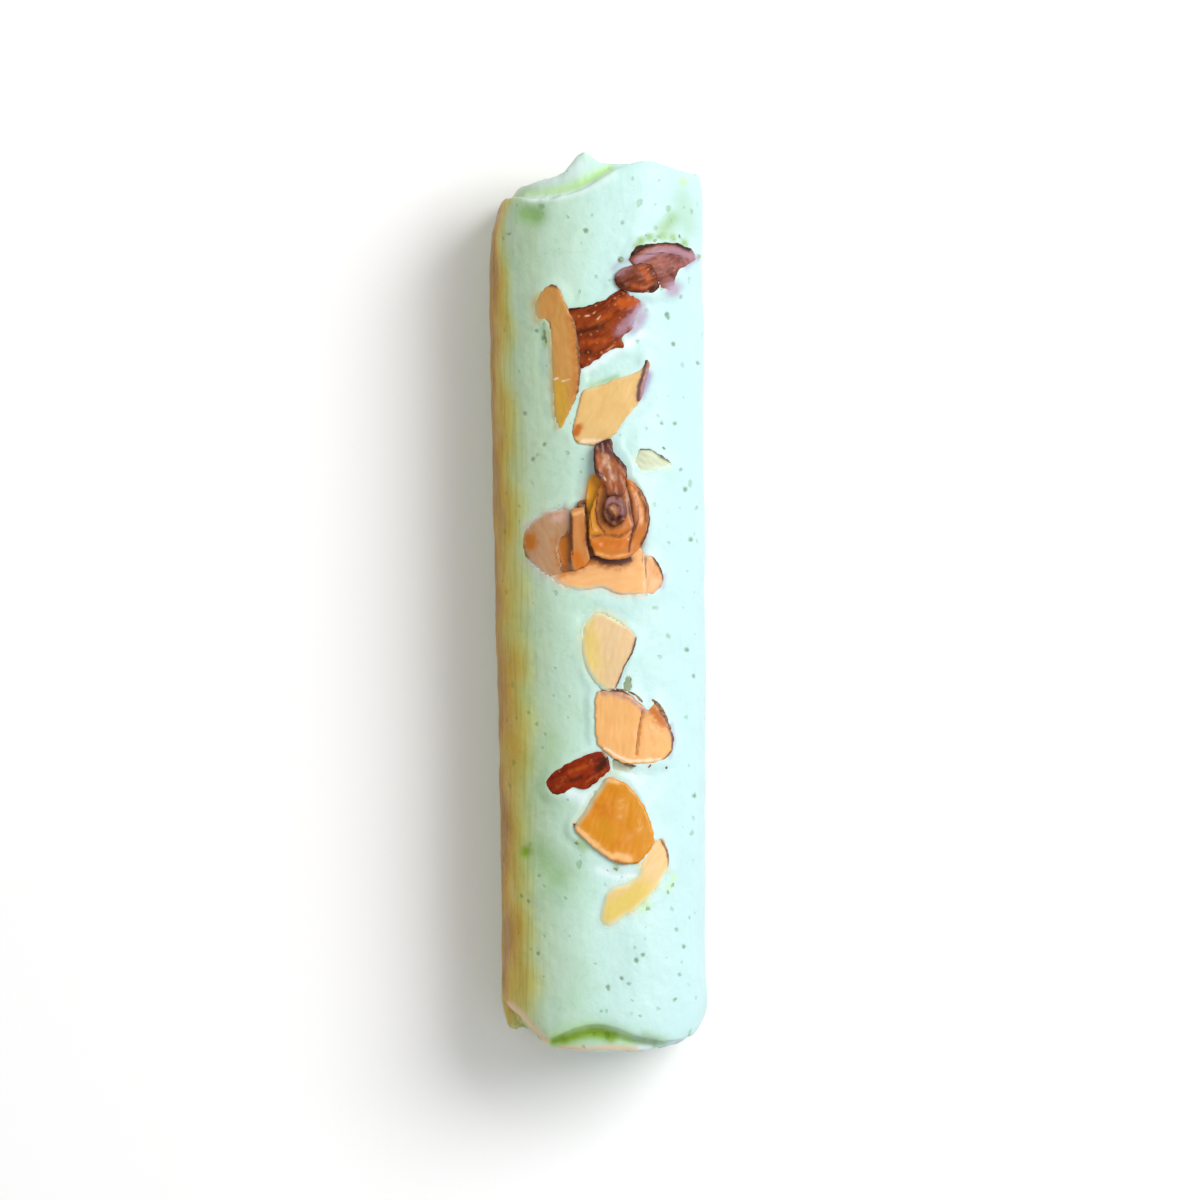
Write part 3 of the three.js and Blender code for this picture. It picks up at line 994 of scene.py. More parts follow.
@dataclass
class CandyBar:
    """The bar of candy: fuller above its widest line than below it, on a flat underside."""

    node: str = "candy_roll"
    widest_z: float = 11.5
    rise_above: float = 14.3
    drop_below: float = 13.5
    round_above: float = 2.6
    round_below: float = 2.4
    left_edge: SmoothLine = SmoothLine((
        (-62, -14.9), (-54, -14.7), (-30, -15), (-12, -15.3), (4, -15.8), (28, -16.2),
        (48, -16.6), (57, -16.2), (61, -15.6),
    ))
    right_edge: SmoothLine = SmoothLine(((-60, 16.4), (-50, 16.1), (0, 16.1), (26, 15.8), (60, 15.7)))
    swell: float = 0.22
    long_wave: float = 57.0
    short_wave: float = 27.0
    end_y: float = 60.0
    foot_top: float = 6.0
    skin_foot: float = 13.0
    steepest_share: float = 0.97
    far: BarEnd = field(default_factory=lambda: BarEnd(
        1,
        SmoothLine(((-16, 60.4), (-13.9, 62), (-8.9, 61.5), (-5.9, 61.8), (-1.4, 63.5), (2, 65.8),
                    (6.7, 67.3), (15, 65.6))),
        SmoothLine(((-16, 60), (-14.2, 62.2), (-11.2, 63.8), (-5.9, 65.2), (-2, 66.8), (1, 67),
                    (6.7, 66.7), (15, 65))),
        SmoothLine(((-16, 59.8), (-14.2, 61.8), (-8.2, 63.6), (0, 65.4), (7, 66), (15, 64.6))),
    ))
    near: BarEnd = field(default_factory=lambda: BarEnd(
        -1,
        SmoothLine(((-14.8, -59.4), (-12, -61.4), (-8.9, -64.1), (-7, -65.2), (-3.6, -63.6),
                    (0.2, -63.2), (3.2, -63.9), (5.5, -65), (10, -65.8), (14.2, -64.8),
                    (16.3, -62.2))),
        SmoothLine(((-14.8, -59.2), (-10, -64), (-7.4, -66.5), (0.2, -67.1), (7.7, -67),
                    (14.2, -64.9), (16.2, -61.8))),
        SmoothLine(((-14.6, -62.8), (-13.8, -64.1), (-10.8, -64.2), (-7.4, -66), (0.2, -66.6),
                    (7.7, -66.4), (14.2, -64.5), (16.2, -61.8))),
    ))
    tail: tuple[float, float] = (-2.6, 21.4)
    tail_length: float = 2.3
    tail_spread: float = 1.9
    tail_ring: int = 6
    end_rings: tuple[tuple[float, float, float], ...] = (
        (1, 6.2, 0), (1, 3.4, 0), (0.992, 1.7, 0), (0.975, 0.6, 0), (0.945, 0, 0), (0.905, 0.15, 0.05),
        (0.87, 0.6, 0.35), (0.83, 0.5, 0.75), (0.79, 0.15, 1), (0.72, 0, 1), (0.5, 0.35, 1),
        (0.25, 0.5, 1), (0, 0.55, 1),
    )
    foot_ring: int = 4
    ring_lift: float = 0.45
    around: int = 236
    share_on_top: float = 0.7
    side_rings: int = 316
    rim_rings: int = 30
    face_rings: int = 12
    face_start: float = 9.0

    # The phases of the top's slow rise and fall, and how much of it each wave makes.
    phases: Band = (0.6, 2.1)
    wave_shares: Band = (0.6, 0.4)

    # How uneven the surface is above its even foot, and the torn ends where they face away.
    uneven: tuple[Ripple, Ripple] = (Ripple(11, 5, 22, 0.09), Ripple(12, 1.2, 3.2, 0.022))
    torn: tuple[Ripple, Ripple] = (Ripple(13, 2.2, 6, 0.22), Ripple(14, 0.8, 2.0, 0.1))
    even_foot: Band = (0.2, 3.5)
    torn_facing: Band = (0.55, 0.9)
    dents_above: float = 3.0

    # The painted shade and warm reflected light of the left flank: where it starts and ends across the bar,
    # and its place on the ramp.
    flank_shade_start: SmoothLine = SmoothLine((
        (-62, 0.54), (-51, 0.6), (-17, 0.58), (0, 0.59), (19, 0.62), (40, 0.7), (56, 0.77),
    ))
    flank_shade_end: float = 0.98
    flank_shade_place: Band = (0.55, 0.45)
    middle_place: float = 0.3
    flank_shade_uneven: Ripple = Ripple(21, 5, 24, 0.035)

    # The lower flanks, painted with the ramp's shade and warm reflected light: how far below the widest line
    # they begin, and their place on the ramp.
    low_band: Band = (-3.5, 8)
    low_place: Band = (0.42, 0.38)
    low_across: Band = (-0.7, 0.9)
    low_uneven: Ripple = Ripple(24, 4, 18, 1.5)

    # Where the marks' tints fade out: at the flanks, and below the top on the end faces.
    tint_rise: Band = (-2, 1)
    end_fade: Band = (1, 3)
    depth_fade: Band = (3.5, 8)
    depth_uneven: Ripple = Ripple(23, 2, 7, 1.2)
    edge_uneven: Ripple = Ripple(22, 0.5, 1.4, 0.08)

    # How far a slice's veil and the painted highlight round it reach into the candy.
    veil_reach: float = 0.5
    halo_reach: float = 1.1
    halo: float = 0.18
    halo_patches: float = 0.6
    halo_most: float = 1.3

    # How far inside the CAD box it stays in plan, which is less than can be seen.
    inset: float = 1e-4

    bed: Bed = Bed()
    marks: tuple[Mark, ...] = ()
    finish: CandyFinish = CandyFinish()

    def width_at(self, y: Array) -> tuple[Array, Array]:
        """The middle and half the width of the bar at places along it."""
        left, right = self.left_edge.at(y), self.right_edge.at(y)
        return (left + right) / 2, (right - left) / 2

    def swell_at(self, y: Array) -> Array:
        """The slow rise and fall of the top.

        Args:
            y: places along the bar.

        Returns:
            The rise at each place.
        """
        long = np.sin(2 * math.pi * y / self.long_wave + self.phases[0])
        short = np.sin(2 * math.pi * y / self.short_wave + self.phases[1])
        return self.swell * (self.wave_shares[0] * long + self.wave_shares[1] * short)

    def top_at(self, x: Array, y: Array) -> Array:
        """The height of the candy's even top.

        Args:
            x: places across the bar.
            y: places along it.

        Returns:
            The height at each point.
        """
        middle, half = self.width_at(y)
        share = np.minimum(self.steepest_share, np.abs(x - middle) / half)
        height = self.rise_above + self.swell_at(y)
        return self.widest_z + height * (1 - share**self.round_above) ** (1 / self.round_above)

    def section(self, sideways: Array, upward: Array, y: Array) -> tuple[Array, Array, Array]:
        """Points of the cross-section.

        Args:
            sideways: from -1 at the left to 1 at the right, on a circle.
            upward: from -1 below to 1 above, on the same circle.
            y: the places along the bar.

        Returns:
            x, z and the bar's middle at y.
        """
        above = upward >= 0
        power = 2 / np.where(above, self.round_above, self.round_below)
        height = np.where(above, self.rise_above + self.swell_at(y), self.drop_below)
        middle, half = self.width_at(y)
        x = middle + half * np.sign(sideways) * np.abs(sideways) ** power
        z = self.widest_z + height * np.sign(upward) * np.abs(upward) ** power
        return x, z, middle

    def end_place(self, end: BarEnd, ring: Array, sideways: Array, upward: Array) -> Array:
        """Points of an end.

        Args:
            end: the end.
            ring: how far in from the side each point lies, in the rings of end_rings.
            sideways: as in section.
            upward: as in section.

        Returns:
            The points.
        """
        table = np.array(self.end_rings, float)
        share, back, core_share = (
            SmoothLine(tuple(enumerate(column))).at(ring) for column in table.T
        )
        level = np.full(len(ring), end.side * self.end_y)
        first = end.skin.at(self.section(sideways, upward, level)[0]) - end.side * back
        level = first + (level - first) * smooth_share(ring, 0, 3)
        edge_x, edge_z, middle = self.section(sideways, upward, level)
        x = middle + (edge_x - middle) * share
        lowest = self.ring_lift * np.maximum(0, ring - self.foot_ring)
        z = np.maximum(lowest, self.widest_z + (edge_z - self.widest_z) * share)
        upper = end.skin.at(x) + (end.core.at(x) - end.skin.at(x)) * core_share
        reach = end.foot.at(x) + (upper - end.foot.at(x)) * smooth_share(z, self.foot_top, self.skin_foot)
        away = ((x - self.tail[0]) ** 2 + (z - self.tail[1]) ** 2) / self.tail_spread**2
        tail = self.tail_length * np.exp(-away) * smooth_share(ring, self.tail_ring - 1, self.tail_ring)
        y = reach - end.side * back + (tail if end.side > 0 else 0)
        return np.column_stack([x, y, z])

    def side_place(self, t: Array, sideways: Array, upward: Array) -> Array:
        """Points on the straight part.

        Args:
            t: the share of the way from the near end to the far end.
            sideways: as in section.
            upward: as in section.

        Returns:
            The points.
        """
        start = np.zeros(len(t))
        near = self.end_place(self.near, start, sideways, upward)[:, 1]
        far = self.end_place(self.far, start, sideways, upward)[:, 1]
        y = near + (far - near) * t
        x, z, _ = self.section(sideways, upward, y)
        return np.column_stack([x, y, np.maximum(0, z)])

    def blank(self, rings: int) -> Mesh:
        """A flat sheet to be rolled into the bar: x is the turn round the bar, y the ring.

        Args:
            rings: how many rings the bar has.

        Returns:
            The sheet.
        """
        bm = bmesh.new()
        bmesh.ops.create_grid(bm, x_segments=self.around, y_segments=rings - 1, size=0.5)
        bmesh.ops.translate(bm, vec=(0, 0.5, 0), verts=bm.verts)
        bmesh.ops.scale(bm, vec=(1, rings - 1, 1), verts=bm.verts)
        return bm

    def around_section(self, turn: Array) -> tuple[Array, Array]:
        """Where a place round the bar lies on the section, closer together on the top than below.

        Args:
            turn: the turns from the top, from -0.5 at the left way down to 0.5 at the right one.

        Returns:
            sideways and upward for each place, as in section.
        """
        edge = self.share_on_top / 2
        above = np.abs(turn) <= edge
        on_top = np.sin(math.pi / 2 * turn / edge)
        below = np.sign(turn) * np.cos(math.pi / 2 * (np.abs(turn) - edge) / (0.5 - edge))
        across = np.where(above, on_top, below)
        power = np.where(above, self.round_above, self.round_below) / 2
        sideways = np.sign(across) * np.abs(across) ** power
        upward = np.sqrt(np.maximum(0, 1 - sideways**2)) * np.where(above, 1, -1)
        return sideways, upward

    def even_mesh(self) -> Mesh:
        """Makes the bar without its unevenness.

        Returns:
            The bar, closed at both ends.
        """
        face = np.linspace(len(self.end_rings) - 1, self.face_start, self.face_rings, endpoint=False)
        end_places = np.concatenate([face, np.linspace(self.face_start, 0, self.rim_rings)])
        count = len(end_places)
        rings = 2 * count + self.side_rings
        bm = self.blank(rings)
        blank = places_of(bm)
        ring = np.round(blank[:, 1]).astype(int)
        sideways, upward = self.around_section(blank[:, 0])
        places = np.zeros((len(blank), 3))
        near, far = ring < count, ring >= rings - count
        side = ~(near | far)
        places[near] = self.end_place(self.near, end_places[ring[near]], sideways[near], upward[near])
        places[far] = self.end_place(
            self.far, end_places[rings - 1 - ring[far]], sideways[far], upward[far]
        )
        t = (ring[side] - count + 1) / (self.side_rings + 1)
        places[side] = self.side_place(t, sideways[side], upward[side])
        put_places(bm, places)
        bmesh.ops.remove_doubles(bm, verts=bm.verts, dist=1e-5)
        bmesh.ops.recalc_face_normals(bm, faces=bm.faces)
        return bm

    def roughen(self, bm: Mesh) -> None:
        """Makes the bar's surface and its torn ends uneven, and presses its marks in.

        Args:
            bm: the even bar.
        """
        bm.normal_update()
        places = places_of(bm)
        normals = np.array([vert.normal for vert in bm.verts], float)
        lifted = smooth_share(places[:, 2], *self.even_foot)
        push = sum(ripple.at(places) for ripple in self.uneven)
        torn = smooth_share(np.abs(normals[:, 1]), *self.torn_facing)
        push -= torn * sum(np.abs(ripple.at(places)) for ripple in self.torn)
        on_top = smooth_share(places[:, 2], self.widest_z, self.widest_z + self.dents_above)
        push -= on_top * depth_of(self.marks, places[:, :2])
        places += normals * (push * lifted)[:, None]
        put_places(bm, places)

    def bed_slices(self, bm: Mesh, slices: Sequence["AlmondSlice"]) -> None:
        """Shapes the candy round the slices: hollow under them, and drawn up to their edges.

        Args:
            bm: the bar.
            slices: the slices that lie in it.
        """
        places = places_of(bm)
        upper = places[:, 2] > self.widest_z
        plan = places[upper, :2]
        height = places[upper, 2]
        rise, sink = np.zeros(len(plan)), np.zeros(len(plan))
        beds = np.full(len(plan), np.inf)
        bed = self.bed
        for almond in slices:
            close = almond.is_close(plan)
            points, away = plan[close], almond.outward(plan[close])
            face = almond.face_height(self, points)
            milk = almond.held_milk(points, away)
            bare = 1 - smooth_share(milk, *bed.covers)
            contact = face - almond.thick * almond.bare * bare + bed.lap * (1 - bare)
            contact -= bed.dive * almond.finish.wrinkle * bare * smooth_share(-away, 0, bed.dive_width)
            contact -= almond.dip_at(milk) + height[close]
            near = 1 - smooth_share(away, 0, almond.wet_reach)
            pull = np.minimum(contact, almond.highest_bank) * near
            rise[close] = np.maximum(rise[close], pull)
            sink[close] = np.minimum(sink[close], pull)
            top = face - almond.dip_at(milk)
            covered = np.maximum(height[close], top + bed.least) - top
            film = top - bed.thin * np.maximum(0, bed.film[0] - milk)
            film += covered * smooth_share(milk, *bed.film)
            below = face - almond.thick + bed.gap
            below += np.maximum(0, film - below) * smooth_share(milk, *bed.rise)
            below = np.where(away < -bed.width, below, np.inf)
            beds[close] = np.minimum(beds[close], below)
        places[upper, 2] = np.where(np.isfinite(beds), beds, height + rise + sink)
        put_places(bm, places)

    def place_across(self, places: Array) -> Array:
        """Where each point stands on the finish's ramp, from 0 at the right edge to 1 at the left.

        The left flank is painted ochre as shade and warm reflected light, less far up towards the far end,
        and the underside a little.

        Args:
            places: points of the bar's surface.

        Returns:
            One place for each point.
        """
        middle, half = self.width_at(places[:, 1])
        left = (middle - places[:, 0]) / half + self.flank_shade_uneven.at(places)
        start = self.flank_shade_start.at(places[:, 1])
        least, more = self.flank_shade_place
        shaded_flank = least + more * np.clip((left - start) / (self.flank_shade_end - start), 0, 1)
        share = np.where(left < start, np.minimum(left, least), shaded_flank)
        place = self.middle_place
        place = place + np.where(share > 0, 1 - place, place) * share
        uneven = places[:, 2] + self.low_uneven.at(places)
        low = smooth_share(self.widest_z - uneven, *self.low_band)
        below = self.low_place[0] + self.low_place[1] * smooth_share(left, *self.low_across)
        return np.clip(place + (below - place) * low, 0, 1)

    def values(self, bm: Mesh, slices: Sequence["AlmondSlice"]) -> dict[str, Array]:
        """The numbers that the finish reads at each corner.

        Args:
            bm: the bar.
            slices: the slices pressed into it.

        Returns:
            Each name and its numbers.
        """
        places = places_of(bm)
        plan = places[:, :2]
        on_top = smooth_share(places[:, 2], *(self.widest_z + rise for rise in self.tint_rise))
        below_top = self.top_at(places[:, 0], places[:, 1]) - places[:, 2]
        torn_end = smooth_share(np.abs(places[:, 1]), *(self.end_y + step for step in self.end_fade))
        deep = smooth_share(below_top + self.depth_uneven.at(places), *self.depth_fade)
        on_top *= 1 - torn_end * deep
        found = {"across": self.place_across(places)}
        tints = (Effect.LIME, Effect.MOSS, Effect.OLIVE, Effect.MILK, Effect.PEACH, Effect.VIOLET)
        for effect in (*tints, Effect.ORANGE_SHADE):
            found[effect.value] = tint_of(self.marks, effect, plan) * on_top
        for effect in (Effect.PIT, Effect.LINE):
            edge = edge_of(self.marks, effect, plan) + self.edge_uneven.at(plan)
            found[effect.value] = np.where(on_top > 0.5, edge, UNSEEN)
        for key in ("film", "film_red", "film_green", "film_blue"):
            found[key] = np.zeros(len(plan))
        for almond in slices:
            close = np.flatnonzero(almond.is_close(plan) & (places[:, 2] > self.widest_z))
            away = almond.outward(plan[close])
            milk = almond.held_milk(plan[close], away)
            seen = smooth_share(milk, *VEIL_BAND) * (1 - smooth_share(milk, *CANDY_BAND))
            seen *= np.exp(-((np.maximum(0, away) / self.veil_reach) ** 2))
            stronger = seen > found["film"][close]
            found["film"][close[stronger]] = seen[stronger]
            parts = surface_colour(almond.veil or almond.finish.veil)
            for key, part in zip(("film_red", "film_green", "film_blue"), parts):
                found[key][close[stronger]] = part
            # A patchy painted highlight of the wet candy's sheen round each slice.
            uneven = self.halo_patches + almond.ripple(7, 2, 7, self.halo_patches).at(plan[close])
            halo = self.halo * np.clip(uneven, 0, self.halo_most)
            halo *= np.exp(-((np.maximum(0, away) / self.halo_reach) ** 2))
            found["milk"][close] = np.maximum(found["milk"][close], halo)
        return found

    def build(self, setting: Setting, slices: Sequence["AlmondSlice"]) -> Piece:
        """Makes the bar and dresses it.

        Args:
            setting: where the bar lies in the frame.
            slices: the slices pressed into it.

        Returns:
            The bar, which stands for its node.
        """
        bm = self.even_mesh()
        self.roughen(bm)
        self.bed_slices(bm, slices)
        low, high = (np.array(corner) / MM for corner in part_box(self.node))
        shift, inset = np.array([*setting.shift, 0]), np.array([self.inset, self.inset, 0])
        put_places(bm, np.clip(places_of(bm), low - shift + inset, high - shift - inset))
        piece = setting.finish("candy_bar", bm, self.values(bm, slices))
        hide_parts(self.node)
        self.finish.dress(piece)
        return piece


@dataclass
class AlmondSlice:
    """A broken slice of almond, bent over the bar and pressed into it."""

    name: str
    finish: AlmondFinish
    tint: Rgb
    at: Point
    rise: float
    thick: float
    drape: float
    outline: Path
    up_near: float = 0.0
    soft: float = 0.6
    grain: float = 80.0
    marks: tuple[Mark, ...] = ()
    rings: tuple[float, float, float, float] | None = None
    film: float | None = None
    veil: Rgb | None = None
    rough: float = 0.07
    bare: float = 0.1
    wet_reach: float = 1.9
    highest_bank: float = 0.8
    step: float = 0.2
    rounding: float = 0.12
    dip: float = 0.06
    dip_film: Band = (0.25, 0.9)

    # The candy's film along its edge: how far in it reaches, and how patchy it is.
    film_reach: float = 0.55
    film_even: float = 0.7
    film_patches: float = 0.5
    film_most: float = 1.4
    film_off_dark: float = 1.5

    # The depths of its slow waves and of the wobble of its rings, and how much longer its folds are.
    waves: float = 0.05
    ring_wobble: float = 0.15
    fold_stretch: float = 3.0
    wall_fade: float = 0.35
    margin: float = 2.0

    def __post_init__(self) -> None:
        """Works out the slice's finished border once, because the bar asks for it too."""
        self.border = self.finished_border()

    def seed(self) -> int:
        """A number of the slice's own for its uneven parts."""
        return sum(ord(letter) * (i + 1) for i, letter in enumerate(self.name))

    def ripple(self, number: int, shortest: float, longest: float, depth: float = 1.0) -> Ripple:
        """One of the slice's own uneven fields, by its number."""
        return Ripple(self.seed() + number, shortest, longest, depth)

    def finished_border(self) -> Array:
        """Finds the border in the bar's plan, with softened corners and an uneven line.

        Returns:
            The border's points in order.
        """
        corners = np.array(self.outline, float) + np.array(self.at)
        points = []
        for i in range(len(corners)):
            before, start, stop, after = (corners[(i + k) % len(corners)] for k in (-1, 0, 1, 2))
            count = max(2, round(float(np.linalg.norm(stop - start)) / self.step))
            for t in np.arange(count) / count:
                straight = start + (stop - start) * t
                bend = (
                    2 * start + (stop - before) * t + (2 * before - 5 * start + 4 * stop - after) * t**2
                    + (3 * start - before - 3 * stop + after) * t**3
                ) / 2
                points.append(straight + (bend - straight) * self.soft)
        border = np.array(points)
        shift = [self.ripple(k, 0.6, 2.4).at(border) for k in (1, 2)]
        return border + self.rough * np.column_stack(shift)

    def is_close(self, plan: Array) -> Array:
        """Whether each point of the plan is near enough for the slice to shape the candy there."""
        low, high = self.border.min(0) - self.margin, self.border.max(0) + self.margin
        return ((plan > low) & (plan < high)).all(axis=1)

    def outward(self, plan: Array) -> Array:
        """The distance from each point of the plan to the border, below zero inside it."""
        return outward_distance(self.border, plan)

    def milk_at(self, plan: Array, away: Array) -> Array:
        """How thickly the candy's film covers the slice at points of the plan.

        Args:
            plan: the points.
            away: their distances to the border, below zero inside it.

        Returns:
            0 where it is bare, and over about 0.6 where it lies under the candy.
        """
        film = self.finish.film if self.film is None else self.film
        patchy = self.film_even + self.ripple(6, 1.5, 5, self.film_patches).at(plan)
        edge = film * np.clip(patchy, 0, self.film_most) * np.exp(-((away / self.film_reach) ** 2))
        edge *= 1 - np.clip(self.film_off_dark * tint_of(self.marks, Effect.DARK, plan), 0, 1)
        return 1 - (1 - tint_of(self.marks, Effect.MILK, plan)) * (1 - np.clip(edge, 0, 1))

    def held_milk(self, plan: Array, away: Array) -> Array:
        """The film on the slice at points of the plan, outside the border as it is at the border.

        Args:
            plan: the points.
            away: their distances to the border, below zero inside it.

        Returns:
            As in milk_at.
        """
        closed = np.vstack([self.border, self.border[:1]])
        outside = (away > 0)[:, None]
        held = np.where(outside, nearest_on(closed, plan)[0], plan)
        return self.milk_at(held, np.minimum(away, 0))

    def dip_at(self, milk: Array) -> Array:
        """How far the slice dips where the film covers it."""
        return (self.dip + self.rise) * smooth_share(milk, *self.dip_film)

    def face_height(self, bar: CandyBar, plan: Array) -> Array:
        """The height of the slice's top face, without its relief.

        Args:
            bar: the bar that it lies on.
            plan: points of the plan.

        Returns:
            One height for each point.
        """
        x, y = self.at
        across = plan[:, 0] - x
        here = np.full(len(plan), y)
        left, middle, right = (bar.top_at(np.array([x + step]), np.array([y])) for step in (-0.5, 0, 0.5))
        slope = right - left
        bent = bar.top_at(plan[:, 0], here) - middle
        drop = slope * across * (1 - self.drape) + bent * self.drape
        tilt = (plan[:, 1] - y) * math.tan(math.radians(self.up_near))
        return middle + self.rise + drop - tilt

    def relief(self, plan: Array) -> Array:
        """The height of the top face's wrinkles, rings and marks over its smooth form.

        Args:
            plan: points of the plan.

        Returns:
            One height for each point.
        """
        turn = math.radians(self.grain)
        along = np.column_stack([
            plan @ np.array([math.cos(turn), math.sin(turn)]) / self.fold_stretch,
            plan @ np.array([-math.sin(turn), math.cos(turn)]),
        ])
        height = self.ripple(3, 3, 8, self.waves).at(plan)
        folds = self.ripple(4, 0.7, 2.2).at(along)
        height += self.finish.wrinkle * (1 - 2 * np.abs(folds))
        if self.rings:
            x, y, apart, depth = self.rings
            radius = np.linalg.norm(plan - np.array([x, y]), axis=1)
            radius += self.ripple(5, 2, 5, self.ring_wobble).at(plan)
            height += depth * np.sin(2 * math.pi * radius / apart)
        return height - depth_of(self.marks, plan)

    def sheet(self) -> Mesh:
        """Makes a fine flat sheet in the slice's border.

        Returns:
            The sheet.
        """
        low, high = self.border.min(0) - self.step, self.border.max(0) + self.step
        size, middle = high - low, (low + high) / 2
        counts = np.ceil(size / self.step).astype(int).tolist()
        bm = bmesh.new()
        bmesh.ops.create_grid(bm, x_segments=counts[0], y_segments=counts[1], size=0.5)
        bmesh.ops.scale(bm, vec=(*size, 1), verts=bm.verts)
        bmesh.ops.translate(bm, vec=(*middle, 0), verts=bm.verts)
        centres = np.array([face.calc_center_median()[:2] for face in bm.faces])
        spare = [face for face, kept in zip(bm.faces, is_inside(self.border, centres)) if not kept]
        bmesh.ops.delete(bm, geom=spare, context="FACES")
        while pinched := [vert for vert in bm.verts if not vert.is_manifold]:
            spare = {face for vert in pinched for face in vert.link_faces}
            bmesh.ops.delete(bm, geom=list(spare), context="FACES")
        edge = [vert for vert in bm.verts if vert.is_boundary]
        closed = np.vstack([self.border, self.border[:1]])
        snapped = nearest_on(closed, np.array([vert.co[:2] for vert in edge]))[0]
        for vert, place in zip(edge, snapped):
            vert.co.xy = place
        inner = [vert for vert in bm.verts if not vert.is_boundary]
        for _ in range(3):
            bmesh.ops.smooth_vert(bm, verts=inner, factor=0.5, use_axis_x=True, use_axis_y=True)
        return bm

    def thicken(self, bm: Mesh) -> None:
        """Makes the sheet a slab one unit thick, with a line of corners half way up its wall.

        Args:
            bm: the sheet.
        """
        made = bmesh.ops.extrude_face_region(bm, geom=bm.faces[:], use_keep_orig=True)
        lifted = [part for part in made["geom"] if isinstance(part, bmesh.types.BMVert)]
        bmesh.ops.translate(bm, vec=(0, 0, 1), verts=lifted)
        upright = [edge for edge in bm.edges if abs(edge.verts[0].co.z - edge.verts[1].co.z) > 0.5]
        bmesh.ops.subdivide_edges(bm, edges=upright, cuts=1)
        bmesh.ops.recalc_face_normals(bm, faces=bm.faces)

    def build(self, setting: Setting, bar: CandyBar) -> Piece:
        """Makes the slice and dresses it.

        Args:
            setting: where the bar lies in the frame.
            bar: the bar that it lies on.

        Returns:
            The slice, which stands for its node.
        """
        bm = self.sheet()
        self.thicken(bm)
        slab = places_of(bm)
        plan, level = slab[:, :2], slab[:, 2]
        away = self.outward(plan)
        inward = np.maximum(0, -away)
        short = self.rounding - np.minimum(inward, self.rounding)
        fall = self.rounding - np.sqrt(np.maximum(0, self.rounding**2 - short**2))
        milk = self.milk_at(plan, away)
        height = self.face_height(bar, plan) - self.thick * (1 - level) - self.dip_at(milk)
        on_top = level > 0.75
        upper = self.relief(plan) * smooth_share(inward, 0, self.wall_fade) - fall
        height += np.where(on_top, upper, np.where(level < 0.25, fall, 0))
        put_places(bm, np.column_stack([plan, height]))
        values = {"milk": milk, "line": edge_of(self.marks, Effect.LINE, plan)}
        for effect in (Effect.TOAST_AND_HIGHLIGHT, Effect.PALE, Effect.GOLD, Effect.VIOLET, Effect.DARK):
            values[effect.value] = tint_of(self.marks, effect, plan)
        piece = setting.finish(f"{self.name}_slice", bm, values)
        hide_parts(self.name)
        self.finish.dress(piece, self.tint, self.veil or self.finish.veil, self.grain)
        return piece


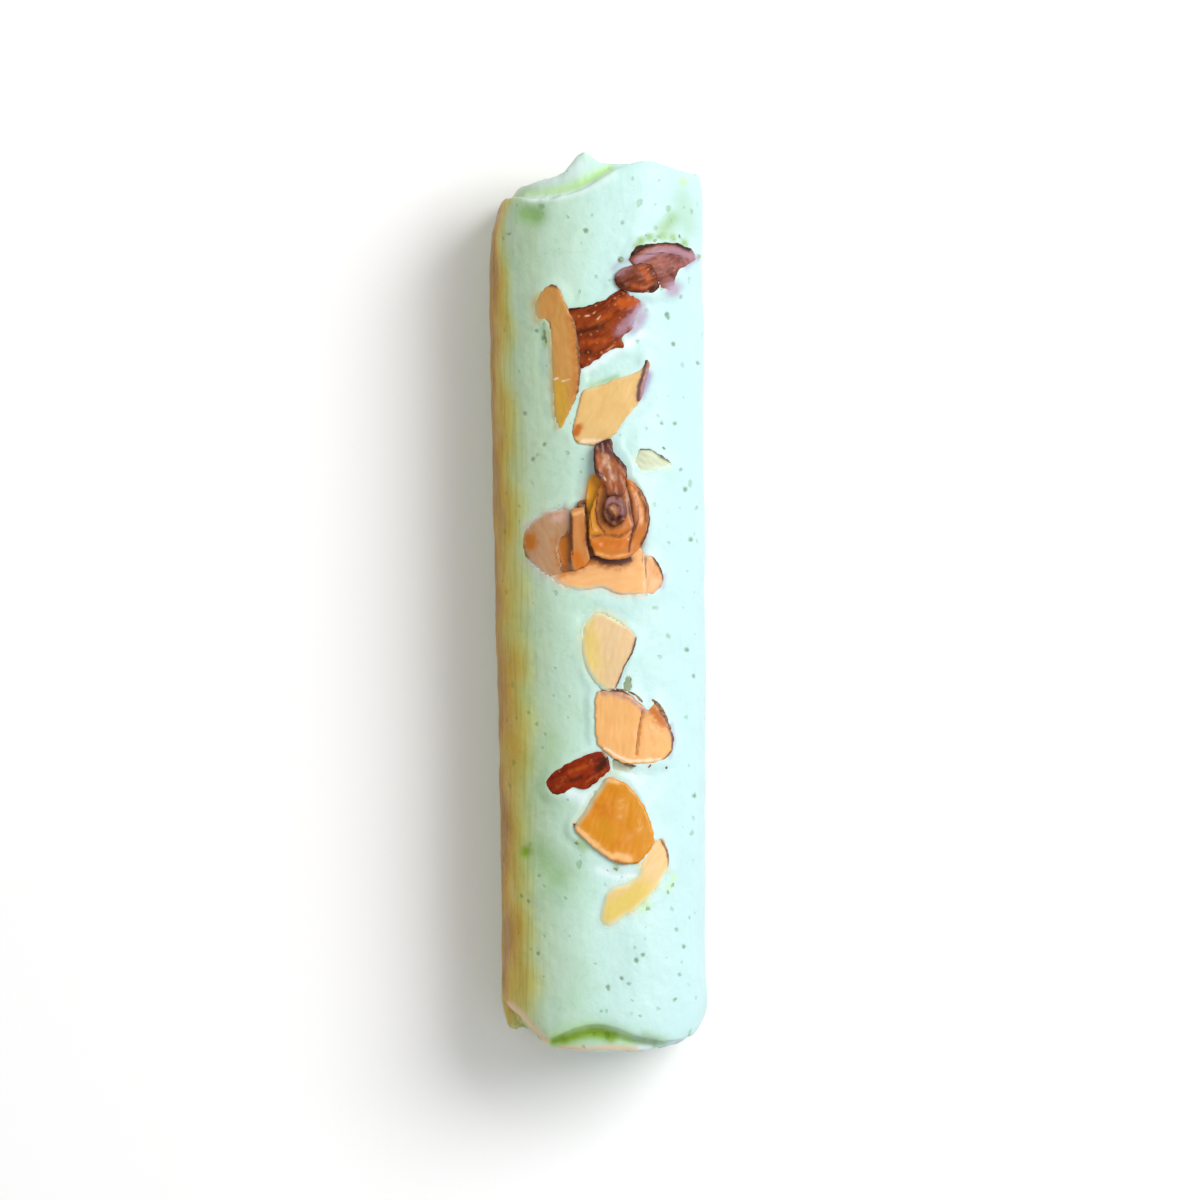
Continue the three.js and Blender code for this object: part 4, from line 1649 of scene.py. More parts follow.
def almond_slices() -> Iterator[AlmondSlice]:
    """Makes the 22 slices.

    Returns:
        The slices in turn, the upper ones of a heap first.
    """
    # Pale marks on the slices are mostly painted highlights and glints, toast marks on the husks painted
    # highlights, violet marks painted shade at the edges, and a few dark marks painted shadows.
    toast_and_highlight, pale, gold, violet, milk, line, sink, dark = (effect.mark for effect in (
        Effect.TOAST_AND_HIGHLIGHT, Effect.PALE, Effect.GOLD, Effect.VIOLET, Effect.MILK, Effect.LINE, Effect.SINK,
        Effect.DARK,
    ))
    yield AlmondSlice("husk_under", HUSK, (130, 64, 34), (5.7, 49.5), 0.75, 0.8, 1,
        ((-3.4, -0.4), (-3.2, 0.8), (-1.9, 1.7), (0.5, 2.3), (2.2, 2.1), (2.9, 0.8), (3.4, -1.4),
         (1.8, -2.2), (-0.7, -2.1), (-2.5, -1.6)),
        grain=25, marks=(
        violet(1, 0.6, (2.8, 50.4), (3.9, 51.2)), dark(0.8, 0.6, (2.5, 49), (3.4, 48.4)),
        toast_and_highlight(0.8, 0.6, (6.6, 50.8), (7.6, 49.4)), toast_and_highlight(0.5, 0.6, (5.2, 48.3), (7.2, 48.1)),
        dark(0.4, 0.8, (7.6, 47.7), (8.2, 48)),
    ))
    yield AlmondSlice("husk_top", HUSK, (152, 88, 68), (10.2, 51.5), 0.55, 0.8, 1,
        ((-5.7, 0.9), (-4.4, 2.9), (0.3, 3.5), (3.4, 2.8), (4.6, 1.2), (3.1, 0), (1.8, -0.7), (1.3, -2.4),
         (1.5, -4.1), (-0.7, -3.6), (-4, -0.7)),
        grain=20, marks=(
        dark(0.55, 1, (5, 53.2), (6.5, 54.3), (8.6, 55), (11.4, 55.1), (13.6, 54.1)),
        gold(0.3, 0.5, (6.8, 53.6), (8.8, 54.2), (11, 54.4)),
        violet(0.7, 0.85, (5.8, 52.2), (8.5, 53.6), (11.4, 53.9), (13.9, 53)),
        violet(2.2, 0.3, (9.5, 51.4), (13, 52)), toast_and_highlight(0.6, 0.4, (7.6, 51.6), (9.4, 51.9)),
        dark(0.4, 0.5, (10.4, 50.6), (11.4, 49.6)), line(0.05, 1, (7, 53.1), (9.6, 53.4), (12.4, 52.9)),
        milk(1.7, 0.5, (11.2, 48)), milk(0.5, 0.5, (12.4, 47.4), (12.6, 49.2)), milk(0.5, 0.5, (14.8, 52.9)),
    ))
    yield AlmondSlice("sliver_long", FLESH, (202, 148, 76), (-6.1, 38.8), 0.75, 1.1, 0.9,
        ((-1.3, 9.8), (-0.1, 9.4), (1.3, 6.5), (2.5, 4.1), (3.1, 0.4), (3.3, -3.2), (2.8, -6.8),
         (0.5, -11.7), (-0.4, -11.5), (-1, -8.2), (-1.4, 3.8), (-3.6, 4.5), (-3.9, 6.8), (-2.8, 8.6)),
        grain=95, veil=(206, 186, 122), marks=(
        dark(0.35, 0.8, (-4.8, 46.2), (-3.4, 42), (-2.8, 35.6), (-3.2, 31.4), (-4.2, 29)),
        toast_and_highlight(0.8, 0.35, (-4.4, 44), (-3.5, 38), (-3.6, 32)), dark(0.5, 0.8, (-7.4, 48.7), (-6.3, 48.4)),
        milk(1.3, 0.6, (-10.4, 46.6), (-10, 43.2)), gold(1.5, 0.8, (-5.9, 33), (-5.9, 27.7)),
        milk(0.8, 0.66, (-7.9, 41.4), (-7.6, 35), (-7.4, 30.6), (-6.9, 27.2)),
        line(0.04, 1, (-7.4, 43.2), (-7.1, 39.4)), pale(0.13, 0.8, (-7, 34.2), (-6.2, 34.5)),
        pale(0.13, 0.7, (-5.6, 34), (-4.4, 34.3)),
    ))
    yield AlmondSlice("husk_wide", HUSK, (152, 64, 14), (1.7, 42.9), 0.55, 0.9, 1,
        ((-6.4, 1.9), (-3.6, 2.4), (-1.1, 3.3), (1.5, 4.9), (3.3, 4.2), (4.7, 3.1), (5, 1.6), (3.8, -0.7),
         (1.7, -2.2), (2.1, -3.8), (0.3, -4), (-4.3, -7), (-5.5, -2.5)),
        grain=32, marks=(
        dark(0.4, 0.85, (-4.4, 44.8), (-1.4, 45.5), (1.1, 46.8), (2.6, 47.9)),
        toast_and_highlight(0.9, 1, (3.4, 45.9), (5.2, 45.8)), toast_and_highlight(0.5, 0.6, (-1.4, 42.4), (1.9, 44)),
        toast_and_highlight(0.6, 0.5, (-2.2, 39.8), (1.4, 40.4)), dark(0.7, 0.6, (-3.2, 41.4), (0.6, 42.4)),
        dark(0.5, 0.6, (-3.2, 38.2), (-1.4, 38.4)), milk(1.2, 0.6, (5.6, 42.8), (6.9, 45.2)),
        violet(0.9, 0.85, (3.2, 41.6), (4.8, 43.4), (5.8, 44.8)),
        pale(0.13, 0.95, (-2.1, 43.8), (-1.5, 43.9)), pale(0.12, 0.9, (-0.3, 43.3), (0.2, 43.8)),
        pale(0.1, 0.8, (-0.9, 44.2), (-0.6, 44.4)), pale(0.16, 0.5, (1.1, 38.6), (2.3, 39.5)),
    ))
    yield AlmondSlice("neck", TORN_FLESH, (170, 94, 42), (1.8, 20.7), 2.1, 0.7, 0.8,
        ((-2.4, 3.7), (0, 4.6), (0.4, 2.6), (2.4, 0.4), (2.3, -1.8), (2.1, -3.6), (0.8, -4), (-0.7, -3.8),
         (-1, -2.4), (-2.3, -0.9), (-2.6, 1.6)),
        up_near=9, grain=100, film=0, bare=0.7, marks=(
        dark(1.1, 0.85, (-0.4, 24.7), (1.4, 25)), dark(0.6, 0.6, (0.4, 23.6), (1.8, 23.6)),
        violet(0.5, 0.35, (0.6, 24.2), (1.4, 23.2)), dark(0.5, 0.95, (2.1, 23.5), (3, 22.2), (4.3, 20.9)),
        dark(0.3, 0.9, (4.3, 20.9), (4.2, 18.8)), line(0.26, 1, (2.2, 23.5), (3, 22.2), (4.4, 20.8)),
        dark(0.35, 0.95, (-0.7, 23.5), (-0.7, 20.9), (0.3, 19.6)),
        line(0.08, 1, (-0.2, 20.7), (0.5, 19.7), (1, 18.6)),
        pale(0.7, 0.35, (0.9, 22.4), (1.6, 21), (2.2, 19.6)), pale(0.12, 0.7, (0.2, 20), (1, 19.1)),
        dark(0.13, 0.7, (1.4, 23.2), (1.9, 21.8)), dark(0.13, 0.6, (2.9, 20.8), (3, 18.9)),
        dark(1.2, 0.6, (1.4, 17), (3, 16.8)), sink(0.5, 0.2, (1, 21.8), (0.6, 20.6)),
    ))
    yield AlmondSlice("diamond", PALE_FLESH, (232, 192, 124), (2.2, 31), 0.5, 1, 0.9,
        ((-4.5, 1.7), (-1.7, 2.5), (4, 4.7), (4.9, 6.5), (5.5, 5.5), (4.8, 2.5), (4, 0), (1.9, -2.4),
         (-0.2, -5.4), (-2.8, -6.6), (-5.5, -6.3), (-6.3, -4.8), (-5.5, -1.5)),
        grain=60, marks=(
        violet(1.1, 0.95, (7.8, 35.4), (7.2, 33.6), (6.7, 31.8)),
        dark(0.35, 0.95, (7.2, 37.4), (6.7, 35.2), (6, 33.2), (5.9, 31.2)),
        toast_and_highlight(0.45, 0.8, (7, 37.4), (7.5, 36.2)), toast_and_highlight(0.7, 0.95, (-3.1, 27.1), (-3.5, 26.2)),
        dark(0.2, 0.7, (-4.1, 28.8), (-4.2, 25.6), (-3.2, 24.9)), pale(0.4, 0.6, (-2.4, 25), (0.2, 25)),
        dark(0.3, 0.8, (-0.2, 24.4), (1.4, 25.2)),
    ))
    yield AlmondSlice("chip_pale", GLAZED, (208, 218, 188), (7.8, 21.8), 0.25, 0.7, 1,
        ((-1.6, 2), (0, 2), (3.3, 0), (1.6, -1.2), (-0.3, -2.1), (-2.2, -1.7), (-2.5, 0)),
        grain=-30, film=0.3, veil=(226, 238, 208), marks=(
        dark(0.28, 1, (6.3, 23.8), (8, 23.8), (9.5, 22.7), (11, 21.8)),
        milk(1.5, 0.85, (6, 19.4), (9.4, 20)), milk(0.8, 0.6, (5.2, 21.6), (5.6, 20.2)),
    ))
    yield AlmondSlice("curl", HUSK, (140, 82, 52), (2.4, 14.5), 2.75, 0.7, 0.5,
        ((-1, 2), (0.5, 2.3), (1.5, 1.2), (1.7, -0.6), (0.9, -2), (-0.4, -2.3), (-1.5, -1.2), (-1.6, 0.6)),
        up_near=4, soft=0.9, rings=(2.2, 14.6, 1.3, 0.06), film=0, bare=0.8, marks=(
        violet(0.9, 0.45, (1.4, 16), (3.2, 15.9), (3.7, 14.2)),
        dark(0.3, 0.5, (2.6, 16.5), (3.9, 15.4), (4, 13.6), (3, 12.4)),
        pale(0.45, 0.45, (1.9, 14.9), (2.4, 14.3)),
        dark(0.28, 0.9, (1.1, 14.6), (1.5, 13.5), (2.4, 13), (3.2, 13.6)),
        dark(0.16, 0.7, (1.3, 15.2), (2.2, 15.7), (3, 15.2)),
        sink(0.3, 0.25, (1.1, 14.6), (1.5, 13.5), (2.4, 13), (3.2, 13.6)),
    ))
    yield AlmondSlice("disc", AMBER_FLESH, (208, 124, 40), (2.7, 13.5), 1.8, 1, 0.5,
        ((-1, 7), (1.5, 5.9), (3.4, 4.4), (4.6, 2.3), (5, 0), (4.7, -2.1), (3.8, -4.1), (2, -5.8),
         (-0.6, -6.4), (-2.9, -5.8), (-3.9, -4.2), (-4.2, -1.5), (-3.9, 1.2), (-2.2, 5.3)),
        up_near=4, soft=0.95, grain=60, film=0, bare=0.6, rings=(2.1, 14.2, 1.7, 0.05), marks=(
        dark(0.9, 0.6, (4.2, 14.5), (3.6, 16.1), (2.2, 16.8), (0.6, 16), (0.3, 14.5), (0.6, 13.1),
            (2.2, 12.3), (3.6, 13.1), (4.2, 14.5)),
        gold(0.8, 0.75, (-0.7, 16.4), (-1, 13.6), (-0.6, 11.4)),
        violet(0.9, 0.3, (4.4, 16.8), (5.4, 14.4), (5.5, 12)),
        dark(0.14, 0.9, (-0.2, 17), (-0.5, 14.6), (-0.2, 12.6), (0.8, 11.3)),
        dark(0.12, 0.8, (5.3, 17.4), (5.9, 15.4), (5.9, 13.2), (5.4, 11.4)),
        dark(0.22, 0.9, (3.6, 19.9), (4.2, 17.9), (4.7, 16.3), (4.9, 14.1), (5.3, 12.4), (4.8, 10.5),
            (4.5, 8.3)),
        sink(0.28, 0.3, (3.6, 19.9), (4.2, 17.9), (4.7, 16.3), (4.9, 14.1), (5.3, 12.4), (4.8, 10.5)),
        sink(0.3, 0.25, (-1.1, 10.6), (0.9, 10.9), (3, 10.6), (4.6, 11.6)),
        dark(0.25, 0.6, (-1.1, 10.6), (0.9, 10.9), (3, 10.6), (4.6, 11.6)),
        toast_and_highlight(0.9, 0.8, (-0.8, 9.3), (2, 9.4), (3.9, 9.6)), pale(0.3, 0.5, (-0.3, 8.1), (2, 7.5), (4.4, 8)),
        dark(0.35, 0.85, (5.6, 18.6), (7, 16.2), (7.6, 13.4), (7.3, 11.2), (6.4, 9.3)),
        pale(0.35, 0.35, (5.5, 17), (6.3, 14.8), (6.5, 12.6)),
        dark(0.12, 0.7, (5.9, 17.2), (6.9, 15), (7, 12.8)),
        line(0.06, 1, (-1.3, 16.8), (-1.4, 14), (-1, 11.6)), line(0.18, 1, (6.4, 9.6), (6.7, 9)),
    ))
    yield AlmondSlice("post", AMBER_FLESH, (206, 138, 74), (-3.3, 10.4), 1.3, 0.9, 0.8,
        ((-0.9, 4), (0, 4.5), (1.2, 4.3), (1.6, -1), (1.9, -2.7), (1.3, -4.2), (-0.5, -4.8), (-0.9, -3.3)),
        grain=88, film=0.1, bare=0.6, marks=(
        dark(0.24, 1, (-4.25, 13.9), (-4.2, 8.6)), line(0.06, 1, (-4, 13.6), (-3.95, 7.8)),
        dark(0.2, 0.85, (-2.1, 14.5), (-1.9, 9.2)), pale(0.35, 0.6, (-3.9, 14), (-2.6, 14.3)),
        toast_and_highlight(1.1, 0.85, (-3.4, 7.8), (-2.8, 6.4)), toast_and_highlight(0.3, 0.6, (-2.5, 12.6), (-2.3, 9.6)),
    ))
    yield AlmondSlice("amber", AMBER_FLESH, (244, 170, 10), (-0.7, 15.3), 0.3, 0.8, 1,
        ((0.2, 4.8), (1.5, 4.5), (2.7, 3.3), (2.7, -2.1), (1.2, -5.9), (-0.7, -6.1), (-1.1, -2.6),
         (-1.4, -0.8), (-1.1, 2.6), (-0.7, 4.2)),
        film=0.25, marks=(
        gold(0.9, 0.2, (-0.6, 18.6), (-1.4, 17)), toast_and_highlight(0.7, 0.5, (-1, 14), (-1.2, 12)),
        dark(0.5, 0.7, (-2.1, 15.6), (-1.9, 14.2)),
    ))
    yield AlmondSlice("lobe", GLAZED, (194, 150, 110), (-7.3, 9.4), 0.3, 0.9, 0.95,
        ((-4.2, 0.2), (-3.8, 2.3), (-2.7, 3.9), (-0.9, 5.2), (1.4, 5.6), (3.1, 5.2), (2.9, 1.7), (1.7, 1.1),
         (0.9, -0.5), (1.7, -3), (2.6, -5), (1.1, -5.8), (-0.7, -4.8), (-2.5, -3.3), (-3.8, -1.7)),
        grain=120, film=0.35, veil=(200, 182, 166), marks=(
        toast_and_highlight(1.3, 1, (-10.4, 10.1), (-10.5, 9.6)), dark(0.35, 0.6, (-11.5, 9.4), (-10.9, 7.6), (-9.7, 6.2)),
        pale(1, 0.7, (-6.6, 13.4), (-4.4, 13.9)), toast_and_highlight(0.8, 0.6, (-6.6, 10), (-6.2, 6.6)),
        milk(1.1, 0.74, (-10.8, 6.2), (-9.3, 4.7), (-6.8, 3.2)),
        milk(1.1, 0.72, (-10.8, 13.2), (-8.4, 15), (-5.9, 15.4)),
    ))
    yield AlmondSlice("bridge", AMBER_FLESH, (190, 108, 14), (-5.2, 8.2), 0.2, 0.7, 1,
        ((-0.5, 2.3), (0.9, 2.7), (0.9, -2.9), (0.3, -2.7), (-0.5, -1.8), (-1.2, 0.8)),
        film=0, marks=(pale(0.25, 0.35, (-6.4, 10.2), (-5.8, 7.6), (-5.3, 5.9)),),
    )
    yield AlmondSlice("wing", FLESH, (240, 184, 128), (8, 5.3), 0.4, 0.9, 0.9,
        ((-0.9, 2.3), (0, 2.4), (0.9, 1.4), (1.8, -0.6), (1.4, -2.1), (0.3, -3.2), (-1.3, -3.1),
         (-1.3, 0.3)),
        film=0, marks=(
        dark(0.4, 1, (8.4, 7.4), (9.4, 5.8), (9.9, 4.4)), toast_and_highlight(0.5, 0.4, (8.5, 5.9), (8.9, 4.7)),
        violet(0.5, 0.5, (9.9, 4.2), (9.3, 3.2)),
    ))
    yield AlmondSlice("skirt", PALE_FLESH, (246, 188, 124), (2.7, 5), 0.5, 0.9, 0.95,
        ((-10.3, -0.5), (-8.6, 0), (-6.5, 0.5), (-4.7, 1.2), (-3.8, 2.6), (1.7, 3.2), (2.9, 3.9), (4, 3.9),
         (4.3, 1.8), (4.4, -2.7), (2.9, -3.2), (-0.1, -3), (-2.2, -2), (-4.1, -2.4), (-6.5, -2.7),
         (-8.6, -1.8)),
        grain=10, veil=(238, 214, 182), marks=(
        # The dark and toast marks under the disc paint the shadow that it casts on the skirt.
        dark(0.75, 0.9, (-1.2, 7.9), (0.9, 6.9), (3.2, 6.7), (4.6, 7.2)),
        toast_and_highlight(1.1, 0.6, (-1.6, 7.6), (0.9, 6.5), (3.2, 6.3)),
        toast_and_highlight(1.4, 0.75, (-6.4, 5.2), (-3.4, 6.4), (-1.9, 7.4)),
        milk(1.3, 0.72, (-7.8, 3.8), (-5.8, 2.5), (-4.2, 1.9)), gold(0.5, 0.9, (-4.1, 2.8), (-2.9, 2.8)),
        milk(0.9, 0.74, (-4.2, 1.9), (-1.4, 2.1), (0.5, 2.4), (2.6, 1.4), (5.4, 1.1), (7.4, 1.2)),
        dark(0.12, 0.7, (6.6, 8.6), (6.6, 6.6)),
    ))
    yield AlmondSlice("shield", PALE_FLESH, (232, 200, 154), (1.1, -6.7), 0.4, 0.9, 0.9,
        ((-3.4, 4.9), (-1.9, 6.2), (-0.1, 5.9), (2.4, 4.4), (4.6, 2.1), (3.9, -0.3), (2.8, -2.2),
         (1.6, -5.3), (0.2, -6), (-1.1, -5.4), (-3.6, -1.7), (-3.9, 1.7)),
        up_near=3, grain=75, marks=(
        gold(2.3, 0.65, (-1.8, -3.4), (-1.1, -8.4)),
        milk(1.4, 0.66, (-2.6, -1.2), (-0.8, 0), (1.4, -0.2), (4, -1.8)),
        milk(1.3, 0.76, (-2.8, -1.4), (-3.4, -3.6), (-3.4, -6), (-2.9, -8.8), (-1, -11.8), (0.6, -13)),
        dark(0.26, 0.95, (5.7, -4.6), (5, -7), (3.9, -8.9), (2.7, -12)),
        line(0.05, 1, (3.9, -8.9), (3.3, -10.4), (2.6, -12.2)), dark(0.22, 0.8, (0.6, -12.4), (2.4, -12.4)),
        dark(0.25, 0.7, (-1.9, -0.9), (-0.8, -0.2)),
    ))
    yield AlmondSlice("chip_green", GLAZED, (146, 168, 134), (4.3, -11.4), 0.25, 0.6, 1,
        ((-0.2, 2.6), (0.5, 1.2), (0.8, -1.2), (-0.1, -1.7), (-1.1, -1.1), (-0.6, 0.6)),
        film=0.2, marks=(dark(0.25, 0.8, (4.1, -8.9), (4.8, -10.3), (5.1, -12.4)),),
    )
    yield AlmondSlice("fan", PALE_FLESH, (242, 184, 114), (5.5, -18.2), 0.6, 1, 0.9,
        ((-5.8, 5.3), (-3.5, 5.8), (-1.1, 5.2), (0.7, 3.8), (1.9, 2.7), (3.2, 3.8), (4.2, 2.6), (5.1, 0.5),
         (5.9, -1.7), (5.4, -3.8), (3.8, -5), (-1.1, -5.5), (-3.4, -4.5), (-5.8, -2.3), (-6.1, 1.7)),
        grain=85, film=0.15, marks=(
        violet(0.5, 0.6, (0.6, -12.9), (3.2, -13.2), (5.4, -14.3), (7, -15.7)),
        dark(0.32, 1, (0.4, -12.4), (3.4, -12.6), (5.2, -13.2), (6.6, -14.6)),
        toast_and_highlight(1, 0.8, (8.2, -15.6), (9.6, -17.4)),
        violet(0.4, 0.8, (9.4, -15.6), (11, -18.6), (11.4, -21.6)),
        dark(0.3, 0.8, (8.5, -14.4), (10.2, -16.9), (11.2, -19.6), (11.1, -21.6), (9.8, -23.2)),
        toast_and_highlight(0.35, 0.55, (6.7, -15.6), (6.1, -18.6), (5.8, -22.1)),
        line(0.04, 1, (6.5, -15.6), (5.9, -18.6), (5.5, -22.3)),
        sink(0.12, 0.2, (6.5, -15.6), (5.9, -18.6), (5.5, -22.3)), toast_and_highlight(2.6, 0.16, (8, -19)),
        pale(0.3, 0.7, (0.9, -21.2), (2.6, -22.4), (4.6, -23.2), (9.2, -23)),
        dark(0.2, 0.9, (1.8, -23.2), (4.4, -24), (8.6, -23.8)),
    ))
    yield AlmondSlice("husk_low", DEEP_HUSK, (150, 44, 0), (-2.8, -25.2), 0.6, 0.8, 1,
        ((-5.2, -1.1), (-4.2, 0.2), (-2.2, 1.5), (-0.1, 2.5), (2.1, 3.3), (3.4, 3.4), (4.3, 2.1), (4.3, 0.6),
         (1.8, -1.7), (0.5, -2.3), (-1.1, -1.9), (-2.6, -2.9), (-4.2, -2.9)),
        grain=32, film=0.1, marks=(
        toast_and_highlight(0.5, 0.55, (-4.4, -25), (-1.2, -23.6)), toast_and_highlight(0.35, 0.5, (-2, -26.4), (1, -24.4)),
        toast_and_highlight(0.6, 0.4, (-6.4, -27.2), (-5.4, -26)), dark(0.9, 0.75, (0, -24.2), (1.2, -22.8)),
        dark(0.4, 0.6, (-5, -26.4), (-2.6, -25.6)), pale(0.16, 0.8, (0.5, -22), (1.1, -22.5)),
    ))
    yield AlmondSlice("chip_grey", GLAZED, (158, 166, 144), (3.3, -23.9), 0.2, 0.6, 1,
        ((-1.7, 1), (-0.2, 1.2), (2.1, -0.1), (1.1, -1.3), (-1.4, -0.8)),
        film=0.45, marks=(
        dark(0.3, 0.8, (1.8, -22.8), (3.8, -23.2), (5.3, -23.9)),
        milk(1.1, 0.62, (5.4, -24.4), (4.6, -25.4), (2.4, -25)),
    ))
    yield AlmondSlice("amber_round", AMBER_FLESH, (221, 144, 4), (2.5, -32.5), 0.75, 1, 0.85,
        ((-1.4, 6.7), (0.7, 6.3), (2.5, 5), (4.8, 1.4), (5.9, -2.7), (4.9, -4.5), (3.4, -6), (1, -6.2),
         (-1.1, -5.4), (-4.5, -2.7), (-6, -1.2), (-6, 0), (-4.6, 1.7), (-3.5, 3.7)),
        soft=0.9, grain=70, film=0.2, marks=(
        pale(0.5, 0.95, (-3.2, -33.3), (-2, -34.5)), pale(0.75, 0.95, (-1.6, -35.1), (-0.5, -36)),
        pale(0.5, 0.95, (0.4, -36.7), (2, -37.7)), pale(0.65, 0.95, (2.8, -37.4), (4.6, -38)),
        toast_and_highlight(1.3, 0.35, (-1.2, -30.6), (0.4, -29)), gold(1.2, 0.8, (0, -32.6), (1.6, -34.2)),
        pale(0.9, 0.35, (3.4, -29.4), (3.2, -31.4)), pale(0.7, 0.3, (4.4, -34.6), (6.4, -33.4)),
        toast_and_highlight(0.9, 0.3, (2.2, -27.6), (3.4, -28.4)),
        violet(0.25, 0.5, (-3.8, -33), (-1.7, -35.2), (0.2, -36.8), (3.2, -38.6)),
        dark(0.22, 0.85, (-3.6, -32.5), (-2.6, -33.8), (-1.7, -35)),
        dark(0.16, 0.7, (0, -37), (3.2, -38.5), (6.2, -38.6)),
        pale(0.4, 0.8, (-0.8, -27.4), (1.1, -26.1), (2.8, -26.4)),
        milk(1.3, 0.72, (-0.2, -26.2), (-1.6, -28.4), (-2.7, -30.4), (-3.8, -31.8)),
        toast_and_highlight(1.6, 0.45, (1.4, -30.8)), toast_and_highlight(0.9, 0.35, (3, -35.6), (4.4, -34.4)),
        gold(1.1, 0.7, (4.6, -27.6), (6.6, -31), (7.2, -35.1)),
    ))
    yield AlmondSlice("crescent", PALE_FLESH, (240, 204, 146), (5.5, -41.8), 0.4, 0.9, 0.95,
        ((2.8, 6.8), (3.9, 7.1), (4.8, 5.7), (5.1, 3.8), (4.8, 1.6), (3.7, -0.3), (0.7, -3.5), (-3.9, -6.5),
         (-5.4, -6.4), (-5.8, -5.2), (-4.9, -1.4), (-3.6, -0.3), (-1.4, 0.4), (0.1, 1.5), (0.5, 3),
         (1.4, 4.5)),
        grain=50, film=0.3, marks=(
        gold(2.2, 0.9, (1.4, -46), (3.9, -44.6), (6.5, -42.9)),
        milk(1.2, 0.78, (10.6, -40.6), (9.4, -42.8), (6.4, -45.9), (1.6, -48.8), (-0.2, -48.5)),
        milk(1.3, 0.8, (-0.7, -47.2), (0.2, -42.9), (1.7, -41.5), (4, -40.9), (5.4, -39.8)),
        dark(0.22, 0.85, (9.3, -35), (10.3, -36.8), (10.6, -39.2)),
    ))


@dataclass(frozen=True)
class CrumbFinish:
    """The look of small crumbs: one tint clouded with another."""

    label: str
    slot: str
    light: Rgb
    dark: Rgb

    def dress(self, piece: Piece) -> None:
        """Dresses the crumbs with clouds of the darker tint on the lighter one.

        Args:
            piece: the crumbs.
        """
        board = Board(self.label)
        clouds = board.noise(0.5, 3)
        share = board.span(clouds, 0.4, 0.62)
        colour = board.blend(share, surface_colour(self.light), surface_colour(self.dark))
        board.dress(
            piece, colour, board.bump(clouds, 0.06),
            roughness=0.5, specular_ior_level=0.2, coat_weight=0.1, coat_roughness=0.3,
        )


@dataclass
class Crumbs:
    """Crumbs of one finish that lie pressed into the candy's top.

    Each crumb is (x, y, half its width, how many times longer it is, its turn in degrees, how high its
    middle lies over the candy's even top), all in millimetres.
    """

    name: str
    finish: CrumbFinish
    seed: int
    crumbs: tuple[tuple[float, float, float, float, float, float], ...]
    flatness: float = 0.7
    lumps: float = 0.24

    def build(self, setting: Setting, bar: CandyBar) -> Piece:
        """Makes the crumbs as one piece.

        Args:
            setting: where the bar lies in the frame.
            bar: the bar that they lie on.

        Returns:
            The piece, riding on the one body.
        """
        bm = bmesh.new()
        for i, (x, y, half, longer, turn, lift) in enumerate(self.crumbs):
            made = bmesh.ops.create_icosphere(bm, subdivisions=3, radius=half)["verts"]
            lumpy = Ripple(self.seed + i, 0.8 * half, 3.0 * half)
            places = np.array([vert.co for vert in made], float)
            for vert, share in zip(made, 1 + self.lumps * lumpy.at(places)):
                vert.co *= share
            bmesh.ops.scale(bm, vec=(longer, 1, self.flatness), verts=made)
            turned = Matrix.Rotation(math.radians(turn), 3, "Z")
            bmesh.ops.rotate(bm, cent=(0, 0, 0), matrix=turned, verts=made)
            top = float(bar.top_at(np.array([x]), np.array([y]))[0])
            bmesh.ops.translate(bm, vec=(x, y, top + lift), verts=made)
        piece = setting.finish(self.name, bm, {})
        self.finish.dress(piece)
        return piece


